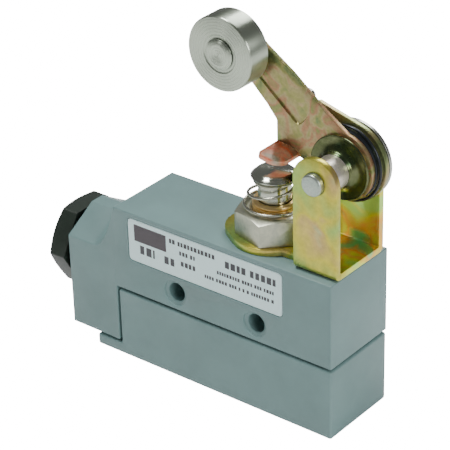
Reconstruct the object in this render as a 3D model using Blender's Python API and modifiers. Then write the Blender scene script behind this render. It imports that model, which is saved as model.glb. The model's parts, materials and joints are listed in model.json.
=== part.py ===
"""Enclosed roller-arm limit switch: die-cast box, one-way roller lever, plunger and the snap switch inside.

Frame: +X towards the lever bracket, +Y out of the mounting face, +Z up. The origin lies on the mounting
face, midway between the two mounting bores.
"""
from math import atan2, cos, pi, radians, sin, sqrt

import bmesh
import bpy
from mathutils import Matrix, Vector

MM = 0.001

# Body box
BODY_DEPTH = 23.6 * MM
PAD_HEIGHT = 0.7 * MM
RIGHT_END = 36.1 * MM
LEFT_END = -32.1 * MM
HEEL_END = -40.2 * MM
BOSS_END = -48.6 * MM
TOP = 18.9 * MM
BOTTOM = -25.0 * MM
PARTING = -4.87 * MM
PARTING_GAP = 0.7 * MM
SEAM_GAP = 0.6 * MM
HAIRLINE = 0.1 * MM
LIP_HEIGHT = 3.3 * MM
WALL = 2.0 * MM
ROOF = 2.5 * MM
FLOOR = 2.2 * MM

# Conduit end: a ridged boss with slanted shoulders, a round bore and the wiring chamber behind it
BOSS_TOP = 11.15 * MM
BOSS_BOTTOM = -21.0 * MM
SHOULDER_LOW = 5.35 * MM
SHOULDER_RUN = 9.8 * MM
RISER_START = -40.4 * MM
RISER_SHAPE = 2.4
CONDUIT_Z = -2.05 * MM
CONDUIT_WALL = 6.0 * MM
CHAMBER_WALL = 2.8 * MM
CHAMBER_TOP = 4.0 * MM
CHAMBER_BOTTOM = -18.5 * MM

# Mounting bores
HOLE_PITCH = 25.4 * MM
HOLE_RADIUS = 2.55 * MM
HOLE_TUBE_WALL = 1.65 * MM
RECESS_RADIUS = 3.6 * MM
RECESS_DEPTH = 0.8 * MM
PAD_LOW = 8.65 * MM
PAD_MARGIN = 2.0 * MM

# Cover screws and the posts that take them
SCREW_RADIUS = 1.45 * MM
SCREW_HEAD_RADIUS = 2.6 * MM
SCREW_HEAD_HEIGHT = 1.8 * MM
SCREW_SINK = 3.0 * MM
HEEL_SINK = 2.1 * MM
SCREW_GRIP = 9.0 * MM
HEEL_GRIP = 6.0 * MM
POST_RADIUS = 3.5 * MM
POST_INSET = 4.25 * MM

# Nameplate
PLATE_LEFT = -27.4 * MM
PLATE_LENGTH = 48.9 * MM
PLATE_LOW = 5.2 * MM
PLATE_HEIGHT = 12.1 * MM
PLATE_THICKNESS = 0.3 * MM
PLATE_RECESS = 0.5 * MM
PLATE_CORNER = 1.4 * MM

# Lever bracket: a bent U with a round tongue under the bushing nut
BRACKET_WIDTH = 19.6 * MM
BRACKET_LENGTH = 12.7 * MM
BRACKET_SHEET = 1.8 * MM
BRACKET_OVERHANG = 0.1 * MM
BEND_RADIUS = 0.5 * MM
TONGUE_RADIUS = 10.6 * MM
TONGUE_TIP_RADIUS = 8.0 * MM
TONGUE_TIP_OFFSET = 4.9 * MM
TONGUE_OFFSET = 0.8 * MM
NECK_WIDTH = 13.8 * MM

# Plunger line
PLUNGER_X = 10.8 * MM
PLUNGER_RADIUS = 4.15 * MM
PLUNGER_TOP = 37.65 * MM
PLUNGER_BOTTOM = 21.0 * MM
PLUNGER_WALL = 1.25 * MM
PLUNGER_CROWN = 5.1 * MM
CAP_OVERHANG = 1.75 * MM
CAP_SLOPE = 1.4 * MM
CAP_HEIGHT = 1.75 * MM
BUSHING_WALL = 1.2 * MM
BUSHING_TOP = 29.9 * MM
BUSHING_FLANGE_RADIUS = 7.6 * MM
BUSHING_FLANGE_HEIGHT = 2.1 * MM
NUT_FLATS = 17.5 * MM
NUT_HEIGHT = 6.8 * MM
GASKET_SHEET = 0.5 * MM
RETURN_WIRE = 0.38 * MM
RETURN_SPREAD = 2.0 * MM
RETURN_SEAT_TURNS = 1.2
RETURN_ACTIVE_TURNS = 0.85
RETURN_END_TURNS = 1.0
DRIVE_PIN_RADIUS = 1.6 * MM
DRIVE_HEAD_RADIUS = 2.5 * MM
DRIVE_HEAD_HEIGHT = 1.0 * MM
DRIVE_PIN_LENGTH = 3.1 * MM
OVERTRAVEL_WIRE = 0.35 * MM

# Pivot pin and what is stacked on it, front to back
PIVOT_Z = 43.65 * MM
PIN_RADIUS = 2.85 * MM
PIN_PROUD = 1.5 * MM
RETAINER_RADIUS = 4.5 * MM
RETAINER_SHEET = 0.7 * MM
COLLAR_RADIUS = 4.3 * MM
DISH_RADIUS = 8.3 * MM
DISH_HEIGHT = 2.4 * MM
DISH_RIM = 0.7 * MM
SLEEVE_WALL = 1.4 * MM
THRUST_RADIUS = 8.0 * MM
THRUST_SHEET = 0.3 * MM
ARM_FRONT = 1.2 * MM
ARM_SHEET = 1.2 * MM
ARM_GAP = 2.35 * MM
DOG_SHEET = 1.3 * MM
DISC_RADIUS = 10.1 * MM
DISC_SHEET = 1.0 * MM
SPACER_RADIUS = 9.0 * MM
TORSION_WIRE = 0.36 * MM
TORSION_PITCH = 0.8 * MM
TORSION_TURNS = 1.15

# Roller arm and roller
ARM_RADIUS = 38.1 * MM
ARM_ANGLE = radians(140.0)
HUB_RADIUS = 8.8 * MM
ARM_TIP_RADIUS = 5.1 * MM
ARM_RIGHT = 6.6 * MM
ARM_RIGHT_FOOT = 13.8 * MM
ARM_LEFT = 8.4 * MM
ARM_LEFT_FOOT = 12.5 * MM
ARM_LEFT_KNEE = 19.0 * MM
ARM_LEFT_KNEE_OUT = 7.0 * MM
ROLLER_RADIUS = 9.525 * MM
ROLLER_WIDTH = 6.8 * MM
ROLLER_CHAMFER = 0.35 * MM
ROLLER_STANDOFF = 1.9 * MM
CHANNEL_DEPTH = 0.5 * MM
CHANNEL_START = 13.8 * MM
CHANNEL_END = 33.5 * MM
CHANNEL_LEFT = 3.0 * MM
CHANNEL_RIGHT = 1.9 * MM
RIVET_RADIUS = 2.2 * MM
RIVET_HEAD_RADIUS = 3.9 * MM
RIVET_HEAD_HEIGHT = 0.6 * MM
RIVET_TAIL_RADIUS = 3.3 * MM
RIVET_TAIL_HEIGHT = 0.9 * MM
STUD_RADIUS = 1.6 * MM
STUD_REACH = 18.5 * MM
STUD_ANGLE = radians(133.9)

# Trip dog: hub plate with a foot bent forward over the plunger
DOG_HUB_RADIUS = 10.3 * MM
FOOT_TILT = radians(10.0)
FOOT_LEFT = 8.0 * MM
FOOT_WIDTH = 7.1 * MM
FOOT_DROP = 5.8 * MM
FOOT_LENGTH = 8.45 * MM
FOOT_LEFT_CORNER = 1.5 * MM
FOOT_RIGHT_CORNER = 3.5 * MM
DOG_CREST = 2.8 * MM
DOG_BACK_HEIGHT = 6.7 * MM
DOG_SHOULDER_X = 12.3 * MM
DOG_SHOULDER_RISE = 3.6 * MM

# Cable gland
GLAND_BORE_RADIUS = 5.2 * MM
GLAND_THREAD_RADIUS = 8.9 * MM
GLAND_NECK_RADIUS = 10.4 * MM
GLAND_NECK = 1.4 * MM
GLAND_FLATS = 21.5 * MM
GLAND_NUT_LENGTH = 6.0 * MM
GLAND_SEAL_RADIUS = 8.0 * MM
GLAND_SEAL_BORE_RADIUS = 4.6 * MM
GLAND_SEAL_LENGTH = 2.4 * MM
GLAND_INSIDE = 1.5 * MM

# Snap switch
CASE_LENGTH = 49.2 * MM
CASE_CLEARANCE = 1.1 * MM
CASE_WALL = 1.5 * MM
CASE_TOP = 13.0 * MM
CASE_BOTTOM = -7.0 * MM
BASE_SHEET = 2.1 * MM
SWITCH_PIN_RADIUS = 1.15 * MM
SWITCH_PIN_TOP = 15.9 * MM
BLADE_SHEET = 0.4 * MM
BLADE_WIDTH = 5.0 * MM
BLADE_Z = 7.1 * MM
BLADE_REACH = 2.0 * MM
CONTACT_X = 19.5 * MM
CONTACT_RADIUS = 1.6 * MM
CONTACT_SHANK_RADIUS = 0.8 * MM
CONTACT_HEAD = 1.0 * MM
CONTACT_TRAVEL = 1.9 * MM
POST_PIN_RADIUS = 1.2 * MM
TERMINAL_LENGTH = 6.0 * MM
TERMINAL_WIDTH = 7.0 * MM
TERMINAL_SHEET = 1.2 * MM
TERMINAL_SCREW_RADIUS = 1.5 * MM
TERMINAL_HEAD_RADIUS = 2.6 * MM
TERMINAL_HEAD_HEIGHT = 1.7 * MM
LINER_SHEET = 0.4 * MM

# Clearances
FIT = 0.3 * MM
RUNNING = 0.25 * MM
SNUG = 0.12 * MM

ROUND = 32
SMALL_ROUND = 20

# Places that follow from the sizes
BACK = -PAD_HEIGHT
FRONT = BACK - BODY_DEPTH
MID_Y = (FRONT + BACK) / 2
CAVITY_HALF = BODY_DEPTH / 2 - WALL
CAVITY_TOP = TOP - ROOF
HOUSING_LOW = PARTING + PARTING_GAP / 2
COVER_HIGH = PARTING - PARTING_GAP / 2
COVER_LEFT = LEFT_END + SEAM_GAP / 2
HOUSING_SEAM = LEFT_END - SEAM_GAP / 2
CHAMBER_HALF = BODY_DEPTH / 2 - CHAMBER_WALL
CONDUIT_RADIUS = GLAND_THREAD_RADIUS + FIT
HOLE_XS = (-HOLE_PITCH / 2, HOLE_PITCH / 2)
HOLE_TUBE_RADIUS = HOLE_RADIUS + HOLE_TUBE_WALL
POST_Y = BODY_DEPTH / 2 - POST_INSET
POST_PLACES = [(RIGHT_END - POST_INSET, MID_Y + side * POST_Y) for side in (-1, 1)]
BRACKET_HALF = BRACKET_WIDTH / 2
BRACKET_RIGHT = RIGHT_END + BRACKET_OVERHANG
BRACKET_LEFT = BRACKET_RIGHT - BRACKET_LENGTH
BRACKET_BASE = TOP + HAIRLINE
BRACKET_TOP = BRACKET_BASE + BRACKET_SHEET
PIVOT_X = BRACKET_RIGHT - BRACKET_LENGTH / 2
PIVOT = Vector((PIVOT_X, MID_Y, PIVOT_Z))
BUSHING_BORE_RADIUS = PLUNGER_RADIUS + RUNNING
BUSHING_RADIUS = BUSHING_BORE_RADIUS + BUSHING_WALL
PLUNGER_BORE_RADIUS = PLUNGER_RADIUS - PLUNGER_WALL
CAP_RADIUS = PLUNGER_RADIUS + CAP_OVERHANG
CAP_FACE_RADIUS = CAP_RADIUS - CAP_SLOPE
RETURN_WIDE_RADIUS = BUSHING_RADIUS + RETURN_SPREAD
RETURN_NARROW_RADIUS = PLUNGER_RADIUS + 2 * RETURN_WIRE
BUSHING_GASKET_HIGH = CAVITY_TOP - HAIRLINE
FLANGE_HIGH = BUSHING_GASKET_HIGH - GASKET_SHEET - HAIRLINE
NUT_LOW = BRACKET_TOP + HAIRLINE
NUT_TOP = NUT_LOW + NUT_HEIGHT
STACK_FRONT = MID_Y - BRACKET_HALF + BRACKET_SHEET
STACK_BACK = MID_Y + BRACKET_HALF - BRACKET_SHEET
ARM_Y = MID_Y + ARM_FRONT
ARM_BACK_Y = ARM_Y + ARM_SHEET
DOG_Y = ARM_BACK_Y + ARM_GAP
DOG_BACK_Y = DOG_Y + DOG_SHEET
PIN_BORE_RADIUS = PIN_RADIUS + RUNNING
SLEEVE_RADIUS = PIN_BORE_RADIUS + SLEEVE_WALL
ROLLER_X = PIVOT_X + ARM_RADIUS * cos(ARM_ANGLE)
ROLLER_Z = PIVOT_Z + ARM_RADIUS * sin(ARM_ANGLE)
ROLLER_BACK = ARM_Y - ROLLER_STANDOFF
ROLLER_FRONT = ROLLER_BACK - ROLLER_WIDTH
GLAND_OUTSIDE = BOSS_END - HAIRLINE - GLAND_NECK
GLAND_NUT_FAR = GLAND_OUTSIDE - HAIRLINE - GLAND_NUT_LENGTH
CASE_HALF = CAVITY_HALF - CASE_CLEARANCE
BASE_HIGH = CASE_BOTTOM - FIT
BASE_LOW = BASE_HIGH - BASE_SHEET
TERMINAL_HIGH = BASE_LOW - FIT
SWITCH_PIN_BOTTOM = BLADE_Z + BLADE_SHEET / 2 + FIT
CHAMBER_LEFT = BOSS_END + CONDUIT_WALL
CHAMBER_RIGHT = HOUSING_SEAM - WALL

GROUND_PLACE = ((CHAMBER_LEFT + CHAMBER_RIGHT) / 2, MID_Y + CHAMBER_HALF / 2, 0)
HEEL_PLACE = ((HEEL_END + LEFT_END) / 2, MID_Y)

# Which way a turned piece's own +Z points
TURNED = {"up": (0, 0, 0), "front": (pi / 2, 0, 0), "left": (0, -pi / 2, 0), "down": (pi, 0, 0)}
# A flat outline's own axes in the world: across, up, thickness
PLANES = {
    "XY": Matrix.Identity(3),
    "XZ": Matrix(((1, 0, 0), (0, 0, -1), (0, 1, 0))),
    "YZ": Matrix(((0, 0, 1), (1, 0, 0), (0, 1, 0))),
}


def start_scene():
    """Empties the scene and adds the collections for the parts and for their cutters."""
    for old in list(bpy.data.objects):
        bpy.data.objects.remove(old, do_unlink=True)
    made = []
    for name in ("limit_switch", "cutters"):
        collection = bpy.data.collections.new(name)
        bpy.context.scene.collection.children.link(collection)
        made.append(collection)
    return made


PARTS, CUTTERS = start_scene()


def finish(name, color, metallic, roughness):
    """A plain Principled finish."""
    material = bpy.data.materials.new(name)
    material.use_nodes = True
    shader = material.node_tree.nodes["Principled BSDF"]
    shader.inputs["Base Color"].default_value = (*color, 1)
    shader.inputs["Metallic"].default_value = metallic
    shader.inputs["Roughness"].default_value = roughness
    material.diffuse_color = (*color, 1)
    return material


PAINT = finish("grey_green_paint", (0.24, 0.31, 0.30), 0.0, 0.45)
LABEL = finish("label_film", (0.68, 0.74, 0.73), 0.0, 0.35)
YELLOW_ZINC = finish("yellow_zinc", (0.58, 0.50, 0.22), 0.9, 0.3)
BRIGHT_ZINC = finish("bright_zinc", (0.60, 0.60, 0.57), 0.9, 0.28)
STEEL = finish("turned_steel", (0.55, 0.56, 0.53), 1.0, 0.3)
SPRING_STEEL = finish("spring_steel", (0.50, 0.50, 0.46), 1.0, 0.25)
BLACK_STEEL = finish("black_oxide", (0.03, 0.035, 0.04), 0.6, 0.35)
BRASS = finish("brass", (0.62, 0.46, 0.20), 1.0, 0.25)
RUBBER = finish("black_rubber", (0.02, 0.02, 0.02), 0.0, 0.7)
GLAND_PLASTIC = finish("gland_plastic", (0.05, 0.06, 0.05), 0.0, 0.4)
PHENOLIC = finish("brown_phenolic", (0.10, 0.05, 0.03), 0.0, 0.4)
RED_PLASTIC = finish("red_acetal", (0.45, 0.05, 0.04), 0.0, 0.35)
COPPER = finish("spring_copper", (0.72, 0.38, 0.22), 1.0, 0.25)
SILVER = finish("contact_silver", (0.80, 0.80, 0.78), 1.0, 0.2)
FIBRE = finish("grey_fibre", (0.30, 0.30, 0.28), 0.0, 0.8)


def add_object(name, data, material=None):
    """A part when it has a material, otherwise a hidden cutter."""
    obj = bpy.data.objects.new(name, data)
    if material is None:
        CUTTERS.objects.link(obj)
        obj.hide_render = True
        obj.display_type = "WIRE"
        return obj
    PARTS.objects.link(obj)
    obj.data.materials.append(material)
    return obj


def mesh_object(name, bm, material=None):
    mesh = bpy.data.meshes.new(name)
    bm.to_mesh(mesh)
    bm.free()
    return add_object(name, mesh, material)


def box(name, low, high, material=None):
    """A block between two corners."""
    low, high = Vector(low), Vector(high)
    bm = bmesh.new()
    bmesh.ops.create_cube(bm, size=1)
    bmesh.ops.scale(bm, vec=high - low, verts=bm.verts)
    bmesh.ops.translate(bm, vec=(low + high) / 2, verts=bm.verts)
    return mesh_object(name, bm, material)


def turned(name, profile, centre, direction, material=None, steps=ROUND):
    """A lathe profile of (radius, height) points, outer side top to bottom, spun about its own Z."""
    mesh = bpy.data.meshes.new(name)
    on_axis = profile[0][0] == 0
    closing = [] if on_axis else [(len(profile) - 1, 0)]
    edges = [(i, i + 1) for i in range(len(profile) - 1)] + closing
    mesh.from_pydata([(r, 0, h) for r, h in profile], edges, [])
    obj = add_object(name, mesh, material)
    screw = obj.modifiers.new("turn", "SCREW")
    screw.steps = screw.render_steps = steps
    screw.use_merge_vertices = True
    screw.merge_threshold = 0.00002
    screw.use_smooth_shade = True
    obj.location = centre
    obj.rotation_euler = TURNED[direction]
    return obj


def disc(name, radius, low, high, centre, direction, material=None, steps=ROUND):
    """A plain round bar along the given direction."""
    return turned(
        name, [(0, high), (radius, high), (radius, low), (0, low)], centre, direction, material, steps
    )


def ring(name, bore, radius, low, high, centre, direction, material=None, steps=ROUND):
    """A plain tube along the given direction."""
    profile = [(bore, high), (radius, high), (radius, low), (bore, low)]
    return turned(name, profile, centre, direction, material, steps)


def plate(name, outline, low, high, plane, material=None):
    """A flat outline given a thickness, its span taken along the world axis that the plane leaves out."""
    curve = bpy.data.curves.new(name, "CURVE")
    curve.dimensions = "2D"
    curve.fill_mode = "BOTH"
    curve.extrude = (high - low) / 2
    spline = curve.splines.new("POLY")
    spline.points.add(len(outline) - 1)
    spline.use_cyclic_u = True
    for point, (across, up) in zip(spline.points, outline):
        point.co = (across, up, 0, 1)
    flat = bpy.data.objects.new(name + "_outline", curve)
    PARTS.objects.link(flat)
    bpy.context.view_layer.update()
    mesh = bpy.data.meshes.new_from_object(flat.evaluated_get(bpy.context.evaluated_depsgraph_get()))
    bpy.data.objects.remove(flat, do_unlink=True)
    turn = PLANES[plane]
    bm = bmesh.new()
    bm.from_mesh(mesh)
    bpy.data.meshes.remove(mesh)
    bmesh.ops.remove_doubles(bm, verts=bm.verts, dist=0.00001)
    bmesh.ops.transform(bm, matrix=turn.to_4x4(), verts=bm.verts)
    along = Vector([abs(value) for value in turn.col[2]])
    bmesh.ops.translate(bm, vec=along * (low + high) / 2, verts=bm.verts)
    bmesh.ops.recalc_face_normals(bm, faces=bm.faces)
    return mesh_object(name, bm, material)


def coil(name, turns, points_a_turn, wire, place, material):
    """A round wire along the curve that place() gives for each turn count from 0 to turns."""
    curve = bpy.data.curves.new(name, "CURVE")
    curve.dimensions = "3D"
    curve.bevel_depth = wire
    curve.bevel_resolution = 2
    curve.use_fill_caps = True
    count = round(turns * points_a_turn)
    spline = curve.splines.new("POLY")
    spline.points.add(count)
    for index, point in enumerate(spline.points):
        turn = turns * index / count
        point.co = (*place(turn), 1)
    return add_object(name, curve, material)


def hexagon(name, flats, low, high, centre, direction, corner_angle, chamfer, material=None):
    """A hexagonal bar with its far corners rounded off by a cone."""
    bm = bmesh.new()
    radius = flats / 2 / cos(pi / 6)
    bmesh.ops.create_cone(bm, cap_ends=True, segments=6, radius1=radius, radius2=radius, depth=high - low)
    bmesh.ops.rotate(
        bm, cent=(0, 0, 0), matrix=Matrix.Rotation(corner_angle - pi / 2, 3, "Z"), verts=bm.verts
    )
    bmesh.ops.translate(bm, vec=(0, 0, (low + high) / 2), verts=bm.verts)
    obj = mesh_object(name, bm, material)
    obj.location = centre
    obj.rotation_euler = TURNED[direction]
    wide = radius + 1 * MM
    drop = (wide - (flats / 2 - chamfer)) * 0.5
    outer = [
        (0, high), (flats / 2 - chamfer, high), (wide, high - drop), (wide, low - 1 * MM),
        (0, low - 1 * MM),
    ]
    combine(obj, turned(name + "_chamfer", outer, centre, direction), "INTERSECT")
    return obj


def combine(target, tool, operation="DIFFERENCE"):
    """Cuts, joins or intersects the target with a tool that stays hidden."""
    boolean = target.modifiers.new(tool.name, "BOOLEAN")
    boolean.operation = operation
    boolean.object = tool
    boolean.solver = "EXACT"


def hinge_on(obj, point):
    """Moves a mesh object's origin to a point on its joint's axis, leaving the piece where it is."""
    obj.data.transform(Matrix.Translation(obj.location - Vector(point)))
    obj.location = point


def arc(centre, radius, start, end, count):
    """Points on an arc, both ends included, angles in radians."""
    angles = [start + (end - start) * i / count for i in range(count + 1)]
    return [(centre[0] + radius * cos(a), centre[1] + radius * sin(a)) for a in angles]


def rounded_rectangle(left, low, right, high, corner):
    spots = [(right - corner, high - corner, 0), (left + corner, high - corner, 1)]
    spots += [(left + corner, low + corner, 2), (right - corner, low + corner, 3)]
    points = []
    for x, y, quarter in spots:
        points += arc((x, y), corner, quarter * pi / 2, (quarter + 1) * pi / 2, 4)
    return points


def make_housing():
    """The die-cast upper shell: side outline, shouldered conduit boss, cavity, posts, tubes and bores."""
    rise = [(LEFT_END + (RISER_START - LEFT_END) * i / 7, 1 - i / 7) for i in range(8)]
    riser = [(x, BOSS_TOP + (TOP - BOSS_TOP) * share ** RISER_SHAPE) for x, share in rise]
    outline = [
        (RIGHT_END, TOP), *riser, (BOSS_END, BOSS_TOP), (BOSS_END, BOSS_BOTTOM),
        (HOUSING_SEAM, BOSS_BOTTOM), (HOUSING_SEAM, HOUSING_LOW), (RIGHT_END, HOUSING_LOW),
    ]
    housing = plate("housing", outline, FRONT, BACK, "XZ", PAINT)
    over = 2 * MM
    for side in (-1, 1):
        face = MID_Y + side * BODY_DEPTH / 2
        ridge = face - side * SHOULDER_RUN
        slope = (BOSS_TOP - SHOULDER_LOW) / SHOULDER_RUN
        shoulder = [
            (face + side * over, SHOULDER_LOW - slope * over),
            (ridge - side * over, BOSS_TOP + slope * over),
            (face + side * over, BOSS_TOP + slope * over),
        ]
        cutter = plate(f"shoulder_{side}", shoulder, BOSS_END - over, riser[4][0], "YZ")
        combine(housing, cutter)
    inner_y = (MID_Y - CAVITY_HALF, MID_Y + CAVITY_HALF)
    combine(
        housing,
        box(
            "cavity", (LEFT_END + WALL, inner_y[0], HOUSING_LOW - over),
            (RIGHT_END - WALL, inner_y[1], CAVITY_TOP),
        ),
    )
    chamber_y = (MID_Y - CHAMBER_HALF, MID_Y + CHAMBER_HALF)
    combine(
        housing,
        box(
            "chamber", (CHAMBER_LEFT, chamber_y[0], CHAMBER_BOTTOM),
            (CHAMBER_RIGHT, chamber_y[1], CHAMBER_TOP),
        ),
    )
    passage_low = HOUSING_LOW + WALL
    combine(housing, box("passage", (CHAMBER_RIGHT - over, chamber_y[0] + over, passage_low),
                         (LEFT_END + WALL + over, chamber_y[1] - over, CHAMBER_TOP - 1 * MM)))
    for index, x in enumerate(HOLE_XS):
        tube = disc(
            f"hole_tube_{index}", HOLE_TUBE_RADIUS, -CAVITY_HALF - WALL / 2, CAVITY_HALF + WALL / 2,
            (x, MID_Y, 0), "front",
        )
        combine(housing, tube, "UNION")
    for index, (x, y) in enumerate(POST_PLACES):
        post = disc(
            f"housing_post_{index}", POST_RADIUS, HOUSING_LOW + FIT, CAVITY_TOP + ROOF / 2, (x, y, 0),
            "up",
        )
        combine(housing, post, "UNION")
    heel_high = BOSS_BOTTOM + HEEL_GRIP + CHAMBER_WALL / 2
    heel_post = disc(
        "heel_post", POST_RADIUS, BOSS_BOTTOM + CHAMBER_WALL / 2, heel_high, (*HEEL_PLACE, 0), "up",
    )
    combine(housing, heel_post, "UNION")
    band = box(
        "pad_band", (LEFT_END + PAD_MARGIN, BACK - WALL / 2, PAD_LOW),
        (RIGHT_END - PAD_MARGIN, 0, TOP - PAD_MARGIN / 2),
    )
    combine(housing, band, "UNION")
    reach = HOLE_PITCH / 2 + HOLE_TUBE_RADIUS + PAD_MARGIN
    block = box("pad_block", (-reach, BACK - WALL / 2, HOUSING_LOW + FIT), (reach, 0, PAD_LOW + MM))
    combine(housing, block, "UNION")
    for index, x in enumerate(HOLE_XS):
        low, high = -2 * BODY_DEPTH, BODY_DEPTH
        seat = BODY_DEPTH / 2 - RECESS_DEPTH
        bore = [
            (0, high), (RECESS_RADIUS, high), (RECESS_RADIUS, seat), (HOLE_RADIUS, seat),
            (HOLE_RADIUS, low), (0, low),
        ]
        combine(housing, turned(f"mounting_bore_{index}", bore, (x, MID_Y, 0), "front"))
    for index, (x, y) in enumerate(POST_PLACES):
        hole = disc(
            f"thread_{index}", SCREW_RADIUS + FIT, HOUSING_LOW - over, HOUSING_LOW + SCREW_GRIP + FIT,
            (x, y, 0), "up", steps=SMALL_ROUND,
        )
        combine(housing, hole)
    heel_thread = disc(
        "heel_thread", SCREW_RADIUS + FIT, BOSS_BOTTOM - over, BOSS_BOTTOM + HEEL_GRIP + FIT,
        (*HEEL_PLACE, 0), "up", steps=SMALL_ROUND,
    )
    combine(housing, heel_thread)
    combine(
        housing,
        disc(
            "bushing_hole", BUSHING_RADIUS + FIT, CAVITY_TOP - over, TOP + over, (PLUNGER_X, MID_Y, 0),
            "up",
        ),
    )
    combine(
        housing,
        disc(
            "conduit_bore", CONDUIT_RADIUS, -BOSS_END - CONDUIT_WALL - over, -BOSS_END + over,
            (0, MID_Y, CONDUIT_Z), "left",
        ),
    )
    combine(
        housing,
        disc(
            "ground_thread", SCREW_RADIUS + FIT, CHAMBER_TOP - over, CHAMBER_TOP + 4 * MM, GROUND_PLACE,
            "up", steps=SMALL_ROUND,
        ),
    )
    recess = rounded_rectangle(
        PLATE_LEFT - FIT, PLATE_LOW - FIT, PLATE_LEFT + PLATE_LENGTH + FIT,
        PLATE_LOW + PLATE_HEIGHT + FIT, PLATE_CORNER,
    )
    combine(housing, plate("plate_recess", recess, FRONT - over, FRONT + PLATE_RECESS, "XZ"))


def make_cover():
    """The lower shell with its heel under the conduit boss, two posts and three sunk screw seats."""
    lip = BOTTOM + LIP_HEIGHT
    outline = [
        (RIGHT_END, COVER_HIGH), (COVER_LEFT, COVER_HIGH), (COVER_LEFT, lip), (HEEL_END, lip),
        (HEEL_END, BOTTOM), (RIGHT_END, BOTTOM),
    ]
    cover = plate("cover", outline, FRONT, BACK, "XZ", PAINT)
    over = 2 * MM
    floor = BOTTOM + FLOOR
    combine(
        cover,
        box(
            "cover_cavity", (COVER_LEFT + WALL, MID_Y - CAVITY_HALF, floor),
            (RIGHT_END - WALL, MID_Y + CAVITY_HALF, COVER_HIGH + over),
        ),
    )
    for index, (x, y) in enumerate(POST_PLACES):
        combine(
            cover,
            disc(
                f"cover_post_{index}", POST_RADIUS, BOTTOM + FLOOR / 2, COVER_HIGH - FIT, (x, y, 0),
                "up",
            ),
            "UNION",
        )
    for index, (x, y) in enumerate([*POST_PLACES, HEEL_PLACE]):
        seat = BOTTOM + (HEEL_SINK if (x, y) == HEEL_PLACE else SCREW_SINK)
        way, head = SCREW_RADIUS + FIT, SCREW_HEAD_RADIUS + FIT
        low, high = BOTTOM - over, COVER_HIGH + over
        profile = [(0, high), (way, high), (way, seat), (head, seat), (head, low), (0, low)]
        combine(cover, turned(f"screw_way_{index}", profile, (x, y, 0), "up", steps=SMALL_ROUND))


def make_cover_fittings():
    """Gasket in the parting gap, the four cover screws, the liner on the cover's floor."""
    inset = 0.9 * MM
    gasket_low = PARTING - GASKET_SHEET / 2
    gasket = box(
        "cover_gasket", (COVER_LEFT + inset, FRONT + inset, gasket_low),
        (RIGHT_END - inset, BACK - inset, gasket_low + GASKET_SHEET), RUBBER,
    )
    hole = box(
        "gasket_hole", (COVER_LEFT + WALL, MID_Y - CAVITY_HALF, gasket_low - MM),
        (RIGHT_END - WALL, MID_Y + CAVITY_HALF, gasket_low + 2 * MM),
    )
    combine(gasket, hole)
    seat = BOTTOM + SCREW_SINK - SNUG
    tip = HOUSING_LOW + SCREW_GRIP
    for index, (x, y) in enumerate(POST_PLACES):
        pan_head_screw(
            f"cover_screw_{index + 1}", (x, y, seat), "up", SCREW_RADIUS, tip - seat, SCREW_HEAD_RADIUS,
            SCREW_HEAD_HEIGHT,
        )
    heel_seat = BOTTOM + HEEL_SINK - SNUG
    heel_length = BOSS_BOTTOM + HEEL_GRIP - heel_seat
    pan_head_screw(
        "cover_screw_3", (*HEEL_PLACE, heel_seat), "up", SCREW_RADIUS, heel_length, SCREW_HEAD_RADIUS,
        SCREW_HEAD_HEIGHT,
    )
    liner_low = BOTTOM + FLOOR + HAIRLINE
    reach = POST_INSET + POST_RADIUS + FIT
    half = CAVITY_HALF - FIT
    box(
        "insulating_liner", (COVER_LEFT + WALL + FIT, MID_Y - half, liner_low),
        (RIGHT_END - reach, MID_Y + half, liner_low + LINER_SHEET), FIBRE,
    )


def pan_head_screw(name, seat, direction, radius, length, head_radius, head_height):
    """A pan-head screw whose shank runs from its seat along the direction, with a cross slot in the head."""
    profile = [
        (0, length), (radius, length), (radius, 0), (head_radius, 0), (head_radius, -0.55 * head_height),
        (0.7 * head_radius, -head_height), (0, -head_height),
    ]
    screw = turned(name, profile, seat, direction, BRIGHT_ZINC, SMALL_ROUND)
    away = Matrix.Rotation(TURNED[direction][0], 3, "X") @ Vector((0, 0, -1))
    slot_depth = 0.4 * head_height
    centre = Vector(seat) + away * head_height
    half = Vector((0.75 * head_radius, 0.3 * MM, slot_depth))
    combine(screw, box(name + "_slot", centre - half, centre + half))


def make_nameplate():
    low = FRONT + PLATE_RECESS - HAIRLINE - PLATE_THICKNESS
    right = PLATE_LEFT + PLATE_LENGTH
    plate("nameplate", rounded_rectangle(
        PLATE_LEFT, PLATE_LOW, right, PLATE_LOW + PLATE_HEIGHT, PLATE_CORNER
    ),
          low, low + PLATE_THICKNESS, "XZ", LABEL)


def bracket_section():
    """The U of the bracket in Y and Z, bends rounded inside and out, open at the top."""
    outer = BEND_RADIUS + BRACKET_SHEET
    high = PIVOT_Z + BRACKET_LENGTH
    low, left, right = BRACKET_BASE, MID_Y - BRACKET_HALF, MID_Y + BRACKET_HALF
    points = [(left, high)]
    points += arc((left + outer, low + outer), outer, pi, 1.5 * pi, 5)
    points += arc((right - outer, low + outer), outer, 1.5 * pi, 2 * pi, 5)
    points += [(right, high), (right - BRACKET_SHEET, high)]
    points += arc((right - outer, low + outer), BEND_RADIUS, 2 * pi, 1.5 * pi, 3)
    points += arc((left + outer, low + outer), BEND_RADIUS, 1.5 * pi, pi, 3)
    points += [(left + BRACKET_SHEET, high)]
    return points


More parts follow.
